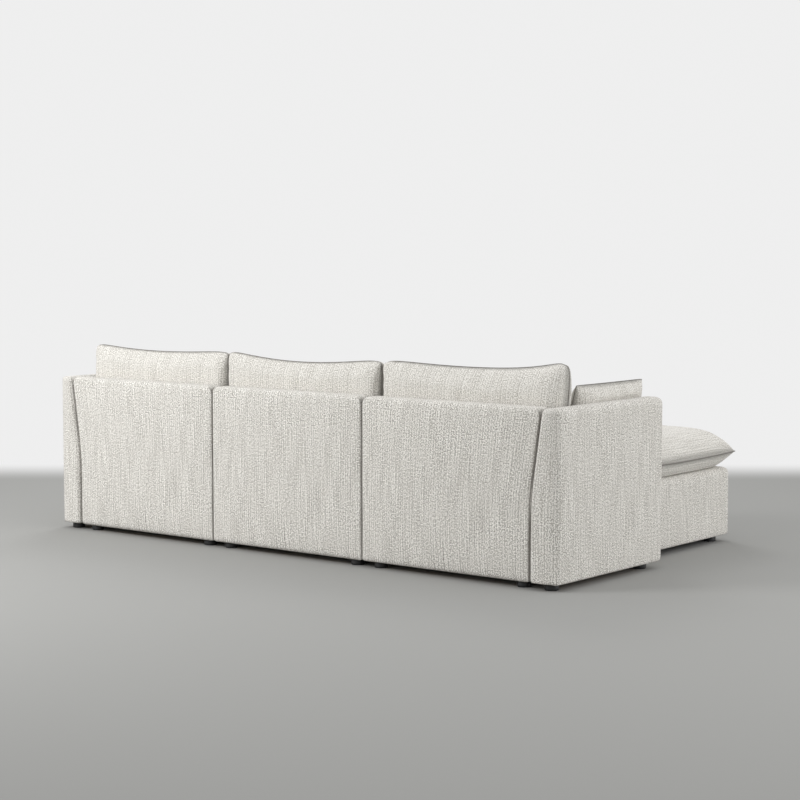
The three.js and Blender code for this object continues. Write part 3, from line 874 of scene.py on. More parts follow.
    def _draft(self) -> Draft:
        """Joins the inner and outer rings, and closes the first and the last.

        Returns:
            The cover's mesh.
        """
        draft = Draft()
        wall = np.full(4, self.wall)
        bottom, top = self.low[2], self.high[2]
        rings = [self._ring(height, wall, sharp=True) for height in (top - self.wall, bottom)]
        rings += [self._swollen(self._ring(height, self._insets(height))) for height in self._levels()]
        rings = np.stack(rings)
        draft.points.append(rings.reshape(-1, 3))
        middle = rings[len(rings) // 2]
        u = run_along(np.concatenate([middle, middle[:1]]))
        v = np.concatenate([[0], np.cumsum(np.linalg.norm(np.diff(rings, axis=0), axis=2).mean(1))])
        index = np.arange(rings.shape[0] * rings.shape[1]).reshape(rings.shape[:2])
        around = np.column_stack([index, index[:, :1]]).T
        draft.lay(around, np.stack(np.meshgrid(u, v, indexing="ij"), 2))
        for level in (0, -1):
            self._cap(draft, rings[level], index[level], u, v[level], facing_up=level < 0)
        return draft

    def _cap(
        self, draft: Draft, ring: Array, index: Array, u: Array, v: float, facing_up: bool
    ) -> None:
        """Fills a ring with a grid that carries the weave on from one side.

        Args:
            draft: The mesh that the grid is added to.
            ring: The ring's points.
            index: Their numbers.
            u: Where each of them lies along the weave.
            v: How far up the weave the ring lies.
            facing_up: Whether the grid looks up.
        """
        count = len(ring)
        nx, ny = (self._cells(side) + self.ARC_CELLS for side in (Side.FRONT, Side.LEFT))
        front = (self.ARC_CELLS // 2 + np.arange(nx + 1)) % count
        left = (front[-1] + np.arange(ny + 1)) % count
        rear = ((left[-1] + np.arange(nx + 1)) % count)[::-1]
        right = ((rear[0] + np.arange(ny + 1)) % count)[::-1]
        s, t = np.linspace(0, 1, nx + 1)[:, None, None], np.linspace(0, 1, ny + 1)[None, :, None]
        grid = ring[front][:, None] * (1 - t) + ring[rear][:, None] * t
        grid = grid + ring[right][None] * (1 - s) + ring[left][None] * s
        ends = ring[front[0]] * (1 - s) * (1 - t) + ring[front[-1]] * s * (1 - t)
        grid = grid - ends - ring[rear[0]] * (1 - s) * t - ring[rear[-1]] * s * t
        filled = np.full((nx + 1, ny + 1), -1)
        filled[:, 0], filled[:, -1] = index[front], index[rear]
        filled[0, :], filled[-1, :] = index[right], index[left]
        inside = filled < 0
        filled[inside] = sum(map(len, draft.points)) + np.arange(inside.sum())
        draft.points.append(grid[inside])
        draft.lay(filled, self._over(grid, ring, u, v), turned=not facing_up)

    def _over(self, grid: Array, ring: Array, u: Array, v: float) -> Array:
        """Carries the weave over a cap, from the side that it climbs.

        Args:
            grid: The cap's points.
            ring: The points round it.
            u: Where each of those lies along the weave.
            v: How far up the weave they lie.

        Returns:
            The cap's places on the weave.
        """
        side = self.over_from
        out, across = side.axis, 1 - side.axis
        onward = 1 if side < Side.REAR else -1
        edge = side.sign * (side.sign * ring[:, out]).max()
        start = self.ARC_CELLS * (side + 1) + sum(self._cells(Side(before)) for before in range(side))
        along = u[start] + onward * (grid[..., across] - ring[start, across])
        return np.stack([along, v + np.abs(grid[..., out] - edge)], 2)


# --------------------------------------------------------------------------------------
# Cushions
# --------------------------------------------------------------------------------------


@dataclass(frozen=True)
class Fullness:
    """How full one sheet of a cushion is towards its edges, along and across."""

    powers: Pair
    roots: Pair = (0.5, 0.5)

    def bulk(self, a: Array, b: Array) -> Array:
        """Returns the share of the full height, 0 at the seam, at shares along and across."""
        along = (1 - np.abs(a) ** self.powers[0]) ** self.roots[0]
        return along * (1 - np.abs(b) ** self.powers[1]) ** self.roots[1]


@dataclass(frozen=True)
class CushionForm:
    """The made form of a knife-edge cushion lying on its back, before it is leant on.

    Its outline draws in between the corners and rounds them, at its right and left ends.
    Its crown rises above the seam and its belly sinks below it, to the plane that it lies
    on, and the skew brings the seam nearer to that plane at the left end.
    """

    width: float
    depth: float
    seam: float
    crown: float
    belly: float
    draw_in: float
    corner_pull: Pair
    over: Fullness
    under: Fullness
    corner_rise: float = 0.0
    seam_skew: float = 0.0

    CORNER_POWER = 14

    def _reach(self, half: float, along: Array, across: Array, pull: object) -> Array:
        """Returns how far out the outline lies, given half its size and its corners' pull."""
        drawn = self.draw_in * (1 - across**2) * np.abs(along)
        return half - drawn - pull * np.abs(along * across) ** self.CORNER_POWER

    def _out(self, half: float, along: Array, across: Array, pull: object) -> Array:
        """Places points along one axis, so that the outline spans its full size.

        Args:
            half: Half the form's size along the axis.
            along: The points' shares of it, from -1 to 1.
            across: Their shares of the other axis.
            pull: How far their end's corners are drawn in.

        Returns:
            The points' places.
        """
        widest = self._reach(half, np.ones(1), np.linspace(-1, 1, 201), min(self.corner_pull)).max()
        return along * self._reach(half, along, across, pull) * half / widest

    def places(self, a: Array, b: Array, above: bool) -> Array:
        """Places points on the form.

        Args:
            a: Shares of the half width, from -1 to 1.
            b: Shares of the half depth, from -1 to 1.
            above: Whether they lie on the crown, and otherwise on the belly.

        Returns:
            The points, with three numbers in the last axis.
        """
        pull = np.where(a < 0, *self.corner_pull)
        x, y = self._out(self.width / 2, a, b, pull), self._out(self.depth / 2, b, a, pull)
        skew = self.seam_skew * a
        seam = self.seam - skew + self.corner_rise * (a * b) ** 2
        if above:
            z = seam + (self.crown + skew) * self.over.bulk(a, b)
        else:
            z = np.maximum(0, seam - (self.belly - skew) * self.under.bulk(a, b))
        return np.stack([x, y, z], -1)

    def grid(self, cell: float) -> tuple[Array, Array]:
        """Spaces points evenly along the crown's middle lines.

        Args:
            cell: How far apart they are to be, in metres.

        Returns:
            Two grids: each point's shares of the half width and of the half depth.
        """
        fine = -np.cos(np.linspace(0, math.pi, 801))
        still = np.zeros_like(fine)
        shares = []
        for line in ((fine, still), (still, fine)):
            run = run_along(self.places(*line, above=True))
            count = 2 * round(run[-1] / cell / 2)
            shares.append(np.interp(np.linspace(0, run[-1], count + 1), run, fine))
        return tuple(np.meshgrid(*shares, indexing="ij"))


@dataclass(frozen=True)
class Placement:
    """Where a cushion's own axes and origin go in the sofa's frame."""

    origin: Triple
    right: Triple = (1.0, 0.0, 0.0)
    up: Triple = (0.0, 1.0, 0.0)

    def apply(self, places: Array) -> Array:
        """Returns places, given in the cushion's own axes, in the sofa's frame."""
        axes = np.stack([self.right, self.up, np.cross(self.right, self.up)])
        return places @ axes + np.array(self.origin)


@dataclass(frozen=True)
class Confines:
    """The faces beside a cushion, which press it flat: another's end, or an arm's inner face.

    An arm's face leans out by a reach, from the height of its bend to the arm's top.
    """

    low: float
    high: float
    arm_side: int = 0
    lean: Triple = (0.0, 0.0, 1.0)

    ABOVE = 0.030
    FREE = 0.2

    def press(self, places: Array) -> Array:
        """Presses a cushion between the faces.

        Args:
            places: Its points, one in each row.

        Returns:
            The points, moved.
        """
        reach, bend, top = self.lean
        height = places[:, 2]
        give = reach * np.clip((height - bend) / (top - bend), 0, 1)
        give += self.FREE * np.clip((height - top) / self.ABOVE, 0, 1) ** 2
        low = self.low - give * (self.arm_side < 0)
        high = self.high + give * (self.arm_side > 0)
        return np.column_stack([np.clip(places[:, 0], low, high), places[:, 1:]])


@dataclass(frozen=True)
class Tailoring:
    """How a cushion's cover lies: its cloth, its puckers and its welt."""

    cell: float = 0.014
    pressure: float = 3.0
    slack: float = -0.012
    most_moved: float = 0.007
    pucker: float = 0.0012
    pucker_length: float = 0.028
    pucker_reach: float = 0.045
    seam_width: float = 0.0035
    welt_radius: float = 0.0023
    fill: float = 0.7


@dataclass(frozen=True)
class Cushion:
    """A loose cushion: a sewn cover blown up by its filling, with a welt in its seam."""

    name: str
    node: str
    form: CushionForm
    placement: Placement
    tailoring: Tailoring = Tailoring()
    slot: Slot = Slot.CUSHION
    arm_side: int = 0
    arm_taper: Four = (0.0, 0.0, 0.0, 0.0)
    corner_drop: float = 0.0
    ears: Pair = (0.0, 0.0)
    sag: float = 0.0
    leans_back: bool = False
    confines: Confines | None = None
    seed: float = 1.0

    CLOTH = {
        "quality": 6,
        "mass": 0.3,
        "tension_stiffness": 25.0,
        "compression_stiffness": 25.0,
        "shear_stiffness": 12.0,
        "bending_stiffness": 0.6,
        "pin_stiffness": 0.6,
        "use_pressure": True,
    }
    FRAMES = 20
    END_POWER = 4
    OVER_ARM = 0.050
    UNDER_SHIFT = 3.0
    CLEAR = 0.0012
    SOFT = 0.010
    SKY = 1.5

    def build(
        self, fabric: Material, welts: WeltMaker, below: BVHTree | None = None
    ) -> Object:
        """Makes the cushion, lays it in its place, and edges it with its welt.

        Args:
            fabric: Its fabric.
            welts: What makes its welt.
            below: The surface of what it stands on, if that is another cushion.

        Returns:
            The cushion.
        """
        draft, seam, inside = self._draft()
        edge = np.exp(-((inside / self.tailoring.seam_width) ** 2))
        piece = draft.make(self.name, fabric)
        # Painted shade: the fabric darkens a narrow band along the seam, where shadow gathers by the welt.
        shade_seams(piece, edge)
        self._inflate(piece, seam)
        self._pucker(piece, edge, inside)
        self._settle(piece, below)
        welts.build(self, places_of(piece)[seam])
        smooth = piece.modifiers.new("Smooth", "SUBSURF")
        smooth.levels = smooth.render_levels = 1
        hang(piece, self.node, (self.node,))
        return piece

    def _bend(self, places: Array, a: Array, b: Array) -> Array:
        """Bends a back cushion: ears up, lower corners down, and its end along the arm.

        Args:
            places: The form's points.
            a: Their shares of the half width.
            b: Their shares of the half depth.

        Returns:
            The moved points.
        """
        moved = places.copy()
        corner = (a * b) ** self.END_POWER
        upper = corner * np.where(a < 0, *self.ears) - self.sag * (1 - a**2) * b**2
        moved[..., 1] += np.where(b > 0, upper, -corner * self.corner_drop)
        if self.arm_side:
            reach, lean, bend, top = self.arm_taper
            height = self.placement.origin[2] + moved[..., 1]
            leant = lean * np.clip((height - bend) / (top - bend), 0, 1)
            leant += (reach - lean) * np.clip((height - top) / self.OVER_ARM, 0, 1)
            inward = (self.arm_side * moved[..., 0] + self.form.width / 2) / self.form.width
            moved[..., 0] -= self.arm_side * np.maximum(0, reach - leant) * inward
        return moved

    def _draft(self) -> tuple[Draft, Array, Array]:
        """Lays the two sheets, which share the points of their seam.

        Returns:
            The mesh, the numbers of the seam's points in order, and how far from the seam
            each point of the mesh lies.
        """
        form = self.form
        a, b = form.grid(self.tailoring.cell)
        index = np.arange(a.size).reshape(a.shape)
        inner = np.zeros(a.shape, bool)
        inner[1:-1, 1:-1] = True
        under = index.copy()
        under[inner] = a.size + np.arange(inner.sum())
        draft = Draft()
        for above, numbers in ((True, index), (False, under)):
            places = self._bend(form.places(a, b, above), a, b)
            draft.points.append(self.placement.apply(places[inner | above]))
            draft.lay(numbers, self._weave(places, above), turned=not above)
        seam = np.concatenate([index[:, 0], index[-1, 1:], index[-2::-1, -1], index[0, -2:0:-1]])
        inside = np.minimum((1 - np.abs(a)) * form.width, (1 - np.abs(b)) * form.depth) / 2
        return draft, seam, np.concatenate([inside.ravel(), inside[inner]])

    def _weave(self, places: Array, above: bool) -> Array:
        """Spreads the weave over a sheet at its true lengths, from its middle lines.

        Args:
            places: The sheet's points.
            above: Whether it is the upper sheet.

        Returns:
            The points' places on the weave.
        """
        runs = []
        for axis in (0, 1):
            steps = np.linalg.norm(np.diff(places, axis=axis), axis=2)
            run = np.insert(np.cumsum(steps, axis=axis), 0, 0.0, axis=axis)
            runs.append(run - np.take(run, [places.shape[axis] // 2], axis=axis))
        return np.stack([runs[0] + (0.0 if above else self.UNDER_SHIFT), runs[1]], 2)

    def _inflate(self, piece: Object, seam: Array) -> None:
        """Blows the cover up as cloth with its seam half held, and keeps the result.

        Args:
            piece: The cushion's mesh, at its made form.
            seam: The numbers of the points round its seam.
        """
        rest, most = places_of(piece), self.tailoring.most_moved
        held = piece.vertex_groups.new(name="held")
        held.add([int(number) for number in seam], 1.0, "REPLACE")
        cloth = piece.modifiers.new("Cloth", "CLOTH")
        for key, value in self.CLOTH.items():
            setattr(cloth.settings, key, value)
        cloth.settings.uniform_pressure_force = self.tailoring.pressure
        cloth.settings.shrink_min = self.tailoring.slack
        cloth.settings.vertex_group_mass = held.name
        cloth.settings.effector_weights.gravity = 0.0
        cloth.collision_settings.use_collision = False
        cloth.point_cache.frame_end = self.FRAMES
        scene = bpy.context.scene
        for frame in range(1, self.FRAMES + 1):
            scene.frame_set(frame)
        ready = piece.evaluated_get(bpy.context.evaluated_depsgraph_get())
        step = places_of(ready) - rest
        scene.frame_set(1)
        piece.modifiers.remove(cloth)
        piece.vertex_groups.remove(held)
        length = np.maximum(np.linalg.norm(step, axis=1, keepdims=True), 1e-9)
        set_places(piece, rest + step / length * most * np.tanh(length / most))

    def _pucker(self, piece: Object, edge: Array, inside: Array) -> None:
        """Gathers the cloth in short folds that run away from the seam.

        Args:
            piece: The cushion's mesh.
            edge: How much each point belongs to the seam, which isn't moved.
            inside: How far from the seam each point lies.
        """
        cut = self.tailoring
        places = places_of(piece)
        folds = np.exp(-inside / cut.pucker_reach) * waviness(places, cut.pucker_length, self.seed)
        dents = waviness(places, 4 * cut.pucker_length, self.seed + 7)
        depth = cut.pucker * (folds + dents / 2) * (1 - edge)
        set_places(piece, places + normals_of(piece) * depth[:, None])

    def _settle(self, piece: Object, below: BVHTree | None) -> None:
        """Flattens the cushion on what it lies on, leans on and stands on.

        Args:
            piece: The cushion's mesh.
            below: The surface of the cushion that it stands on, if it does.
        """
        places = places_of(piece)
        if self.leans_back:
            places[:, 1] = np.minimum(places[:, 1], self.placement.origin[1])
        elif below is None:
            places[:, 2] = np.maximum(places[:, 2], self.placement.origin[2])
        for place in () if below is None else places:
            hit = below.ray_cast(Vector((place[0], place[1], self.SKY)), Vector((0, 0, -1)))[0]
            if hit is not None:
                gap = place[2] - hit.z - self.CLEAR
                if gap < 4 * self.SOFT:
                    place[2] = hit.z + self.CLEAR + eased(gap, self.SOFT)
        set_places(piece, self.confines.press(places) if self.confines else places)


class WeltMaker:
    """Sweeps a round welt along a cushion's seam, with a geometry node tree."""

    SIDES = 10

    def __init__(self, material: Material) -> None:
        """Builds the tree once.

        Args:
            material: The welt's fabric, darkened as painted seam shade.
        """
        nodes, start, self.keys = geometry_tree("Welt", Radius="NodeSocketFloat", Spacing="NodeSocketFloat")
        curve = nodes.made("GeometryNodeMeshToCurve", {"Mesh": start["Geometry"]})
        spaced = {"Curve": curve, "Length": start["Spacing"]}
        even = nodes.made("GeometryNodeResampleCurve", spaced, mode="LENGTH")
        round_form = {"Resolution": self.SIDES, "Radius": start["Radius"]}
        circle = nodes.made("GeometryNodeCurvePrimitiveCircle", round_form)
        swept = nodes.made("GeometryNodeCurveToMesh", {"Curve": even, "Profile Curve": circle})
        smooth = nodes.made("GeometryNodeSetShadeSmooth", {"Geometry": swept})
        real = nodes.made("GeometryNodeRealizeInstances", {"Geometry": smooth})
        dressed = nodes.made("GeometryNodeSetMaterial", {"Geometry": real, "Material": material})
        nodes.add("NodeGroupOutput", {"Geometry": dressed})
        self.tree = nodes.tree

    def build(self, cushion: Cushion, loop: Array) -> None:
        """Makes the welt of one cushion.

        Args:
            cushion: The cushion's own facts.
            loop: The points round its seam, in order.
        """
        radius = cushion.tailoring.welt_radius
        edges = [(number, (number + 1) % len(loop)) for number in range(len(loop))]
        welt = mesh_object(f"{cushion.node}_welt", loop.tolist(), edges)
        bake_nodes(welt, self.tree, {self.keys["Radius"]: radius, self.keys["Spacing"]: 2 * radius})
        hang(welt, cushion.node)


# --------------------------------------------------------------------------------------
# Feet
# --------------------------------------------------------------------------------------


@dataclass(frozen=True)
class Feet:
    """Low round feet: a turned body with a soft rim and a stud, repeated under a body."""

    name: str
    body: str
    nodes: tuple[str, ...]
    rim: float = 0.004
    shoulder: float = 0.0267
    shoulder_rim: float = 0.0015
    stud: float = 0.004
    sides: int = 40

    RIM_CELLS = 5

    def build(self, material: Material) -> None:
        """Turns one foot and repeats it at each CAD foot, as one mesh.

        Args:
            material: The feet's plastic.
        """
        boxes = [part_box(node) for node in self.nodes]
        spots = [((low.x + high.x) / 2, (low.y + high.y) / 2, 0.0) for low, high in boxes]
        low, high = boxes[0]
        foot = self._foot((high.x - low.x) / 2, high.z, material)
        made = mesh_object(self.name, spots)
        nodes, start, keys = geometry_tree("Feet", Foot="NodeSocketObject")
        points = nodes.made("GeometryNodeMeshToPoints", {"Mesh": start["Geometry"]})
        shown = nodes.add("GeometryNodeObjectInfo", {"Object": start["Foot"]}).outputs["Geometry"]
        spread = nodes.made("GeometryNodeInstanceOnPoints", {"Points": points, "Instance": shown})
        real = nodes.made("GeometryNodeRealizeInstances", {"Geometry": spread})
        nodes.add("NodeGroupOutput", {"Geometry": real})
        bake_nodes(made, nodes.tree, {keys["Foot"]: foot})
        bpy.data.objects.remove(foot)
        hang(made, self.body, self.nodes)

    def _foot(self, radius: float, top: float, material: Material) -> Object:
        """Turns one foot about the origin, with its threaded stud.

        Args:
            radius: The foot's radius.
            top: The stud's top.
            material: The plastic.

        Returns:
            The foot.
        """
        turn = np.linspace(0, math.pi / 2, self.RIM_CELLS + 1)
        profile = [(radius - self.rim * (1 - math.sin(t)), self.rim * (1 - math.cos(t))) for t in turn]
        upper, shoulder = self.shoulder_rim, self.shoulder
        profile += [(radius, shoulder - upper), (radius - upper, shoulder)]
        profile += [(self.stud, shoulder), (self.stud, top)]
        count = len(profile)
        floor, crown = self.sides * count, self.sides * count + 1
        points, faces = [], []
        for step in range(self.sides):
            angle = math.tau * step / self.sides
            points += [(r * math.cos(angle), r * math.sin(angle), z) for r, z in profile]
            here, there = step * count, (step + 1) % self.sides * count
            faces += [(here + i, there + i, there + i + 1, here + i + 1) for i in range(count - 1)]
            faces += [(floor, there, here), (here + count - 1, there + count - 1, crown)]
        points += [(0.0, 0.0, 0.0), (0.0, 0.0, top)]
        return mesh_object("turned_foot", points, (), faces, material)


# --------------------------------------------------------------------------------------
# The sofa
# --------------------------------------------------------------------------------------


@dataclass(frozen=True)
class BackLie:
    """How one back cushion lies: where its ends reach beyond its seat, and its upper seam."""

    left_reach: float
    right_reach: float
    left_ear: float
    right_ear: float
    sag: float
    arm_reach: float = 0.0
    right_pull: float = 0.011
    seam: float = 0.036
    skew: float = 0.002


@dataclass(frozen=True)
class Sofa:
    """The sofa's soft parts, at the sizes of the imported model's nodes.

    A unit is named with its outer side: 1 where an arm stands at its left, -1 where one
    stands at its right, and 0 for the middle one.
    """

    finishes: Finishes
    arm_lean: float = 0.050
    arm_bend: float = 0.335
    back_top: float = 0.678
    seat_side_gap: float = 0.010
    back_cushion_low: float = 0.452
    back_cushion_high: float = 0.822
    back_cushion_thickness: float = 0.186
    behind_cushion: float = 0.0005
    pillow_width: float = 0.450
    pillow_height: float = 0.305
    pillow_crown: float = 0.050
    pillow_lean: float = math.radians(15)
    pillow_turn: float = math.radians(1.6)
    pillow_top: Triple = (0.102, -0.508, 0.742)

    UNITS = (("left", 1), ("middle", 0), ("right", -1))
    ENDS = ("front_right", "front_left", "rear_right", "rear_left")
    BACKS = {
        "left": BackLie(0.008, -0.013, 0.002, -0.008, 0.018, 0.008),
        "middle": BackLie(0.006, 0.006, 0.0, -0.010, 0.031, seam=0.034, skew=0.004),
        "right": BackLie(-0.018, 0.054, -0.008, 0.025, 0.018, 0.054, 0.024, 0.062, 0.026),
    }
    BASE = {
        "corners": (0.010,) * 4,
        "top_edges": (0.030,) * 4,
        "over_from": Side.FRONT,
        "wall": 0.0148,
        "cell": 0.014,
        "seed": 3.0,
    }
    BASE_FRONT = {Side.FRONT: Swell(0.001, 0.006)}
    OTTOMAN_ENDS = {Side.RIGHT: Swell(0.005, 0.001), Side.LEFT: Swell(0.005, 0.001)}
    BACK = {
        "corners": (0.016, 0.016, 0.013, 0.013),
        "top_edges": (0.016, 0.038, 0.018, 0.038),
        "lower_edges": (0.009, 0.009, 0.016, 0.009),
        "swells": {Side.REAR: Swell(0.012, 0.003, 4.0, 7.0), Side.FRONT: Swell(0.003, 0.0, 9.0)},
        "over_from": Side.REAR,
        "shaded_ends": True,
        "seed": 11.0,
    }
    SEAT = {
        "seam": 0.058,
        "crown": 0.111,
        "belly": 0.095,
        "corner_pull": (0.003, 0.003),
        "corner_rise": 0.007,
        "over": Fullness((6.5, 6.5)),
        "under": Fullness((6.5, 6.5), (0.6, 0.6)),
    }

    @property
    def slope(self) -> Triple:
        """Returns how far an arm's inner face leans out, and the heights that it leans between."""
        return (self.arm_lean, self.arm_bend, self.back_top)

    def build(self) -> None:
        """Makes every soft part and the feet."""
        for unit, side in self.UNITS:
            self._cover(f"{unit}_base", swells=self.BASE_FRONT, **self.BASE)
            self._back(unit, side)
        for unit, side in self.UNITS[::2]:
            self._arm(unit, side)
        swells = self.BASE_FRONT | self.OTTOMAN_ENDS
        self._cover("ottoman_base", body="ottoman", swells=swells, **self.BASE)
        # The welts get the darkened fabric: painted shade along every cushion seam.
        welts = WeltMaker(self.finishes.welt)
        fabric = self.finishes.cushion
        for unit, side in self.UNITS:
            seat = surface_of(self._seat(unit).build(fabric, welts))
            self._back_cushion(unit, side).build(fabric, welts, seat)
            if side < 0:
                self._pillow().build(fabric, welts, seat)
        taut = Tailoring(most_moved=0.0035)
        self._flat("ottoman_cushion", draw_in=0.001, tailoring=taut, seed=9.0).build(fabric, welts)
        feet = [f"{unit}_foot_{end}" for unit, _ in self.UNITS for end in self.ENDS]
        feet += [f"{arm}_arm_foot_{end}" for arm in ("left", "right") for end in ("front", "rear")]
        plastic = self.finishes.plain[Slot.FOOT]
        Feet("sofa_feet", "sofa", tuple(feet)).build(plastic)
        Feet("ottoman_feet", "ottoman", tuple(f"ottoman_foot_{end}" for end in self.ENDS)).build(plastic)

    def _cover(self, part: str, seed: float, ends: Pair = (0.0, 0.0), **fields: object) -> None:
        """Pulls a cover over one part.

        Args:
            part: What the part's CAD node and its cover are named after.
            seed: A number that picks its creases, with the part's place added.
            ends: How far its right and left ends stand inside the CAD node's.
            fields: The cover's other fields.
        """
        low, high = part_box(f"{part}_cover")
        PulledCover(
            name=f"{part}_upholstery",
            node=f"{part}_cover",
            low=(low.x + ends[0], low.y, low.z),
            high=(high.x - ends[1], high.y, high.z),
            seed=seed + high.x,
            **fields,
        ).build(self.finishes.upholstery)

    def _back(self, unit: str, side: int) -> None:
        """Covers one unit's back, whose outer side leans out with the arm.

        Args:
            unit: The unit's name.
            side: Its outer side.
        """
        leaning = {1: Side.LEFT, -1: Side.RIGHT}.get(side)
        ends = (self.arm_lean * (side < 0), self.arm_lean * (side > 0))
        self._cover(f"{unit}_back", ends=ends, lean=self.slope, lean_side=leaning, **self.BACK)

    def _arm(self, unit: str, side: int) -> None:
        """Covers an arm, whose inner side leans out above the seat.

        Args:
            unit: The name of the unit that it stands beside.
            side: The unit's outer side.
        """
        inner, outer = (Side.RIGHT, Side.LEFT) if side > 0 else (Side.LEFT, Side.RIGHT)
        edges = dict.fromkeys(Side, 0.034) | {inner: 0.022, outer: 0.028, Side.REAR: 0.020}
        self._cover(
            f"{unit}_arm",
            corners=(0.012, 0.012, 0.003, 0.020) if side > 0 else (0.012, 0.012, 0.020, 0.003),
            top_edges=tuple(edges[s] for s in Side),
            lower_edges=(0.034, 0.009, 0.009, 0.009),
            swells={outer: Swell(0.003, 0.0015, 12.0), Side.FRONT: Swell(0.002, 0.009)},
            over_from=outer,
            lean=(-self.arm_lean, self.arm_bend, self.back_top),
            lean_side=inner,
            arch=(0.026, 0.002 if side > 0 else 0.004),
            seed=23.0,
        )

    def _flat(self, node: str, draw_in: float, side_gap: float = 0.0, **fields: object) -> Cushion:
        """Fits a cushion to the base that it lies on.

        Args:
            node: The cushion's CAD node.
            draw_in: How far its outline draws in between the corners.
            side_gap: How far its ends stand inside the CAD node's.
            fields: The cushion's other fields.

        Returns:
            The cushion, as it is to be built.
        """
        low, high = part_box(node)
        width = high.x - low.x - 2 * side_gap
        form = CushionForm(width=width, depth=high.y - low.y, draw_in=draw_in, **self.SEAT)
        middle = ((low.x + high.x) / 2, (low.y + high.y) / 2, low.z)
        return Cushion(node.replace("cushion", "pad"), node, form, Placement(middle), **fields)

    def _seat(self, unit: str) -> Cushion:
        """Presses a seat's cushion between its neighbours.

        Args:
            unit: The seat's unit.

        Returns:
            The cushion, as it is to be built.
        """
        node = f"{unit}_seat_cushion"
        low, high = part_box(node)
        beside = Confines(low.x, high.x)
        return self._flat(node, 0.004, self.seat_side_gap, confines=beside, seed=low.x)

    def _back_cushion(self, unit: str, side: int) -> Cushion:
        """Stands a back cushion on its seat, leaning on the back and on an arm beside it.

        Args:
            unit: The cushion's unit.
            side: The unit's outer side.

        Returns:
            The cushion, as it is to be built.
        """
        lie = self.BACKS[unit]
        low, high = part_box(f"{unit}_seat_cushion")
        start, end = low.x - lie.right_reach, high.x + lie.left_reach
        bottom, top = self.back_cushion_low, self.back_cushion_high
        form = CushionForm(
            width=end - start,
            depth=top - bottom,
            seam=lie.seam,
            crown=self.back_cushion_thickness - lie.seam,
            belly=lie.seam + 0.002,
            draw_in=0.003,
            corner_pull=(lie.right_pull, 0.013),
            seam_skew=lie.skew,
            over=Fullness((6.0, 2.4)),
            under=Fullness((16.0, 2.4)),
        )
        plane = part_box(f"{unit}_back_cover")[0].y - self.behind_cushion
        left, right = (start if side >= 0 else low.x), (end if side <= 0 else high.x)
        return Cushion(
            name=f"{unit}_back_pad",
            node=f"{unit}_back_cushion",
            form=form,
            placement=Placement(((start + end) / 2, plane, (top + bottom) / 2), up=(0.0, 0.0, 1.0)),
            arm_side=side,
            arm_taper=(lie.arm_reach, *self.slope),
            corner_drop=0.034,
            ears=(lie.right_ear, lie.left_ear),
            sag=lie.sag,
            leans_back=True,
            confines=Confines(left, right, side, self.slope),
            tailoring=Tailoring(welt_radius=0.0013),
            seed=31.0 + low.x,
        )

    def _pillow(self) -> Cushion:
        """Leans the throw pillow on the right arm.

        Returns:
            The pillow, as it is to be built.
        """
        crown = self.pillow_crown
        form = CushionForm(
            width=self.pillow_width,
            depth=self.pillow_height,
            seam=crown,
            crown=crown,
            belly=crown,
            draw_in=0.001,
            corner_pull=(0.002, 0.001),
            over=Fullness((4.0, 4.0)),
            under=Fullness((4.0, 4.0)),
        )
        along = Vector((math.sin(self.pillow_turn), math.cos(self.pillow_turn), 0.0))
        sideways = math.sin(self.pillow_lean)
        up = Vector((-sideways * along.y, sideways * along.x, math.cos(self.pillow_lean)))
        corner = (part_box("right_arm_cover")[0].x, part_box("right_back_cover")[1].y, 0.0)
        top = Vector([edge + step for edge, step in zip(corner, self.pillow_top)])
        origin = top - up * self.pillow_height / 2 - along.cross(up) * crown
        return Cushion(
            name="throw_pad",
            node="throw_pillow",
            form=form,
            placement=Placement(tuple(origin), tuple(along), tuple(up)),
            slot=Slot.PILLOW,
            tailoring=Tailoring(cell=0.010, most_moved=0.005, welt_radius=0.0014),
            confines=Confines(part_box("right_seat_cushion")[0].x, 0.0, -1, self.slope),
            seed=41.0,
        )


# --------------------------------------------------------------------------------------
# The studio
# --------------------------------------------------------------------------------------


def aimed(name: str, data: bpy.types.ID, place: Triple, gaze: Vector) -> Object:
    """Puts a camera or a lamp in its place.

    Args:
        name: The object's name.
        data: The camera's or the lamp's own data.
        place: Where it stands.
        gaze: The direction that it looks in.

    Returns:
        The object.
    """
    made = placed(name, data)
    made.location = place
    made.rotation_mode = "QUATERNION"
    made.rotation_quaternion = gaze.to_track_quat("-Z", "Y")
    return made


@dataclass(frozen=True)
class SoftBox:
    """A large soft lamp that the camera doesn't see."""

    name: str
    place: Triple
    aim: Triple
    size: Pair
    power: float

    def build(self) -> None:
        """Makes the lamp and turns it to what it lights."""
        light = bpy.data.lights.new(self.name, "AREA")
        light.shape = "RECTANGLE"
        light.size, light.size_y = self.size
        light.energy = self.power
        lamp = aimed(self.name, light, self.place, Vector(self.aim) - Vector(self.place))
        lamp.visible_camera = False


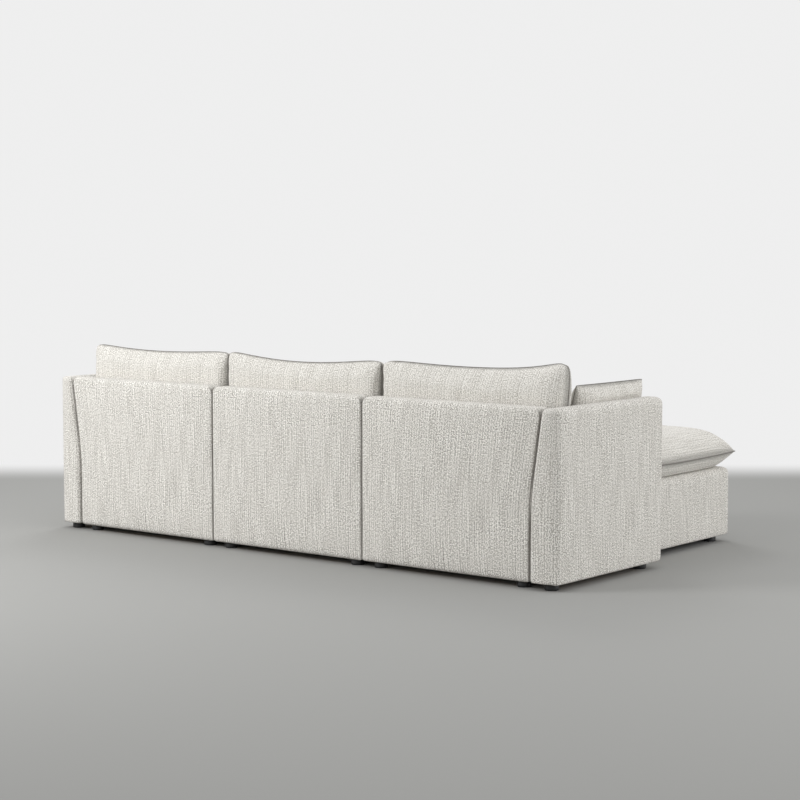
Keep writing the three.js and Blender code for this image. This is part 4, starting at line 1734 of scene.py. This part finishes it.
@dataclass(frozen=True)
class Studio:
    """The camera, the lamps, the pale backdrop and the floor."""

    eye: Triple = (-5.4154, 6.8493, 1.3381)
    gaze: Triple = (0.6180, -0.7815, -0.0853)
    lens: float = 90.96
    floor_colour: Colour = (0.36, 0.36, 0.35, 1.0)
    backdrop: Colour = (0.86, 0.86, 0.86, 1.0)
    sky: Colour = (1.0, 1.0, 1.0, 1.0)
    sky_strength: float = 0.68
    floor_half: float = 30.0
    behind: Pair = (1.9, 2.7)
    around: Pair = (5.0, 8.0)

    BOXES = (
        SoftBox("rear_box", (2.0, 4.0, 2.5), (0.4, 0.5, 0.5), (1.8, 1.8), 118.0),
        SoftBox("right_box", (-5.0, 0.4, 2.4), (-1.0, 0.0, 0.4), (1.6, 1.6), 42.0),
        SoftBox("low_right_box", (-5.5, -2.5, 1.2), (-1.0, 0.0, 0.4), (2.0, 1.6), 47.0),
        SoftBox("high_front_box", (2.6, -3.0, 4.6), (0.0, 0.3, 0.3), (2.5, 2.0), 70.0),
        SoftBox("top_box", (0.0, -0.5, 4.5), (0.0, 0.0, 0.0), (4.0, 3.0), 14.0),
    )

    def build(self) -> None:
        """Makes everything that the object stands in, and puts the camera where the photograph's was."""
        camera = bpy.data.cameras.new("camera")
        camera.lens = self.lens
        bpy.context.scene.camera = aimed("camera", camera, self.eye, Vector(self.gaze))
        self._world()
        self._floor()
        for box in self.BOXES:
            box.build()
        bpy.context.scene.view_settings.view_transform = "Standard"

    def _world(self) -> None:
        """Lights the scene evenly, and shows the camera a pale backdrop."""
        world = bpy.data.worlds.new("studio")
        bpy.context.scene.world = world
        world.use_nodes = True
        nodes = Nodes(world.node_tree)
        ray = nodes.add("ShaderNodeLightPath").outputs
        seen = nodes.maths("MAXIMUM", ray["Is Camera Ray"], ray["Is Glossy Ray"])
        seen = nodes.maths("MAXIMUM", seen, ray["Is Transmission Ray"])
        dim = nodes.made("ShaderNodeBackground", {0: self.sky, 1: self.sky_strength})
        pale = nodes.made("ShaderNodeBackground", {0: self.backdrop})
        mixed = nodes.made("ShaderNodeMixShader", {0: seen, 1: dim, 2: pale})
        nodes.add("ShaderNodeOutputWorld", {0: mixed})

    def _floor(self) -> None:
        """Lays a plain floor that fades into the backdrop, soonest behind the sofa."""
        shader = Shader("studio_floor")
        place = shader.add("ShaderNodeTexCoord").outputs["Object"]
        onward = (*Vector(self.gaze).xy.normalized(), 0.0)
        shares = []
        for operation, inputs, fade in (
            ("DOT_PRODUCT", {0: place, 1: onward}, self.behind),
            ("LENGTH", {0: place}, self.around),
        ):
            far = shader.add("ShaderNodeVectorMath", inputs, operation=operation).outputs["Value"]
            shares.append(shader.spread(far, *fade, interpolation_type="SMOOTHSTEP"))
        seen = shader.add("ShaderNodeLightPath").outputs["Is Camera Ray"]
        share = shader.maths("MULTIPLY", shader.maths("MAXIMUM", *shares), seen)
        matt = shader.made("ShaderNodeBsdfDiffuse", {"Color": self.floor_colour})
        glow = shader.made("ShaderNodeEmission", {"Color": self.backdrop})
        mixed = shader.made("ShaderNodeMixShader", {0: share, 1: matt, 2: glow})
        shader.add("ShaderNodeOutputMaterial", {"Surface": mixed})
        half = self.floor_half
        corners = [(-half, -half, 0.0), (half, -half, 0.0), (half, half, 0.0), (-half, half, 0.0)]
        mesh_object("floor", corners, (), [(0, 1, 2, 3)], shader.material)


def main() -> None:
    """Loads the frame, builds the studio, and dresses the frame."""
    logging.basicConfig(level=logging.INFO, format="%(message)s")
    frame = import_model()
    Studio().build()
    finishes = Finishes()
    finishes.dress_nodes(frame)
    Sofa(finishes).build()


if __name__ == "__main__":
    main()
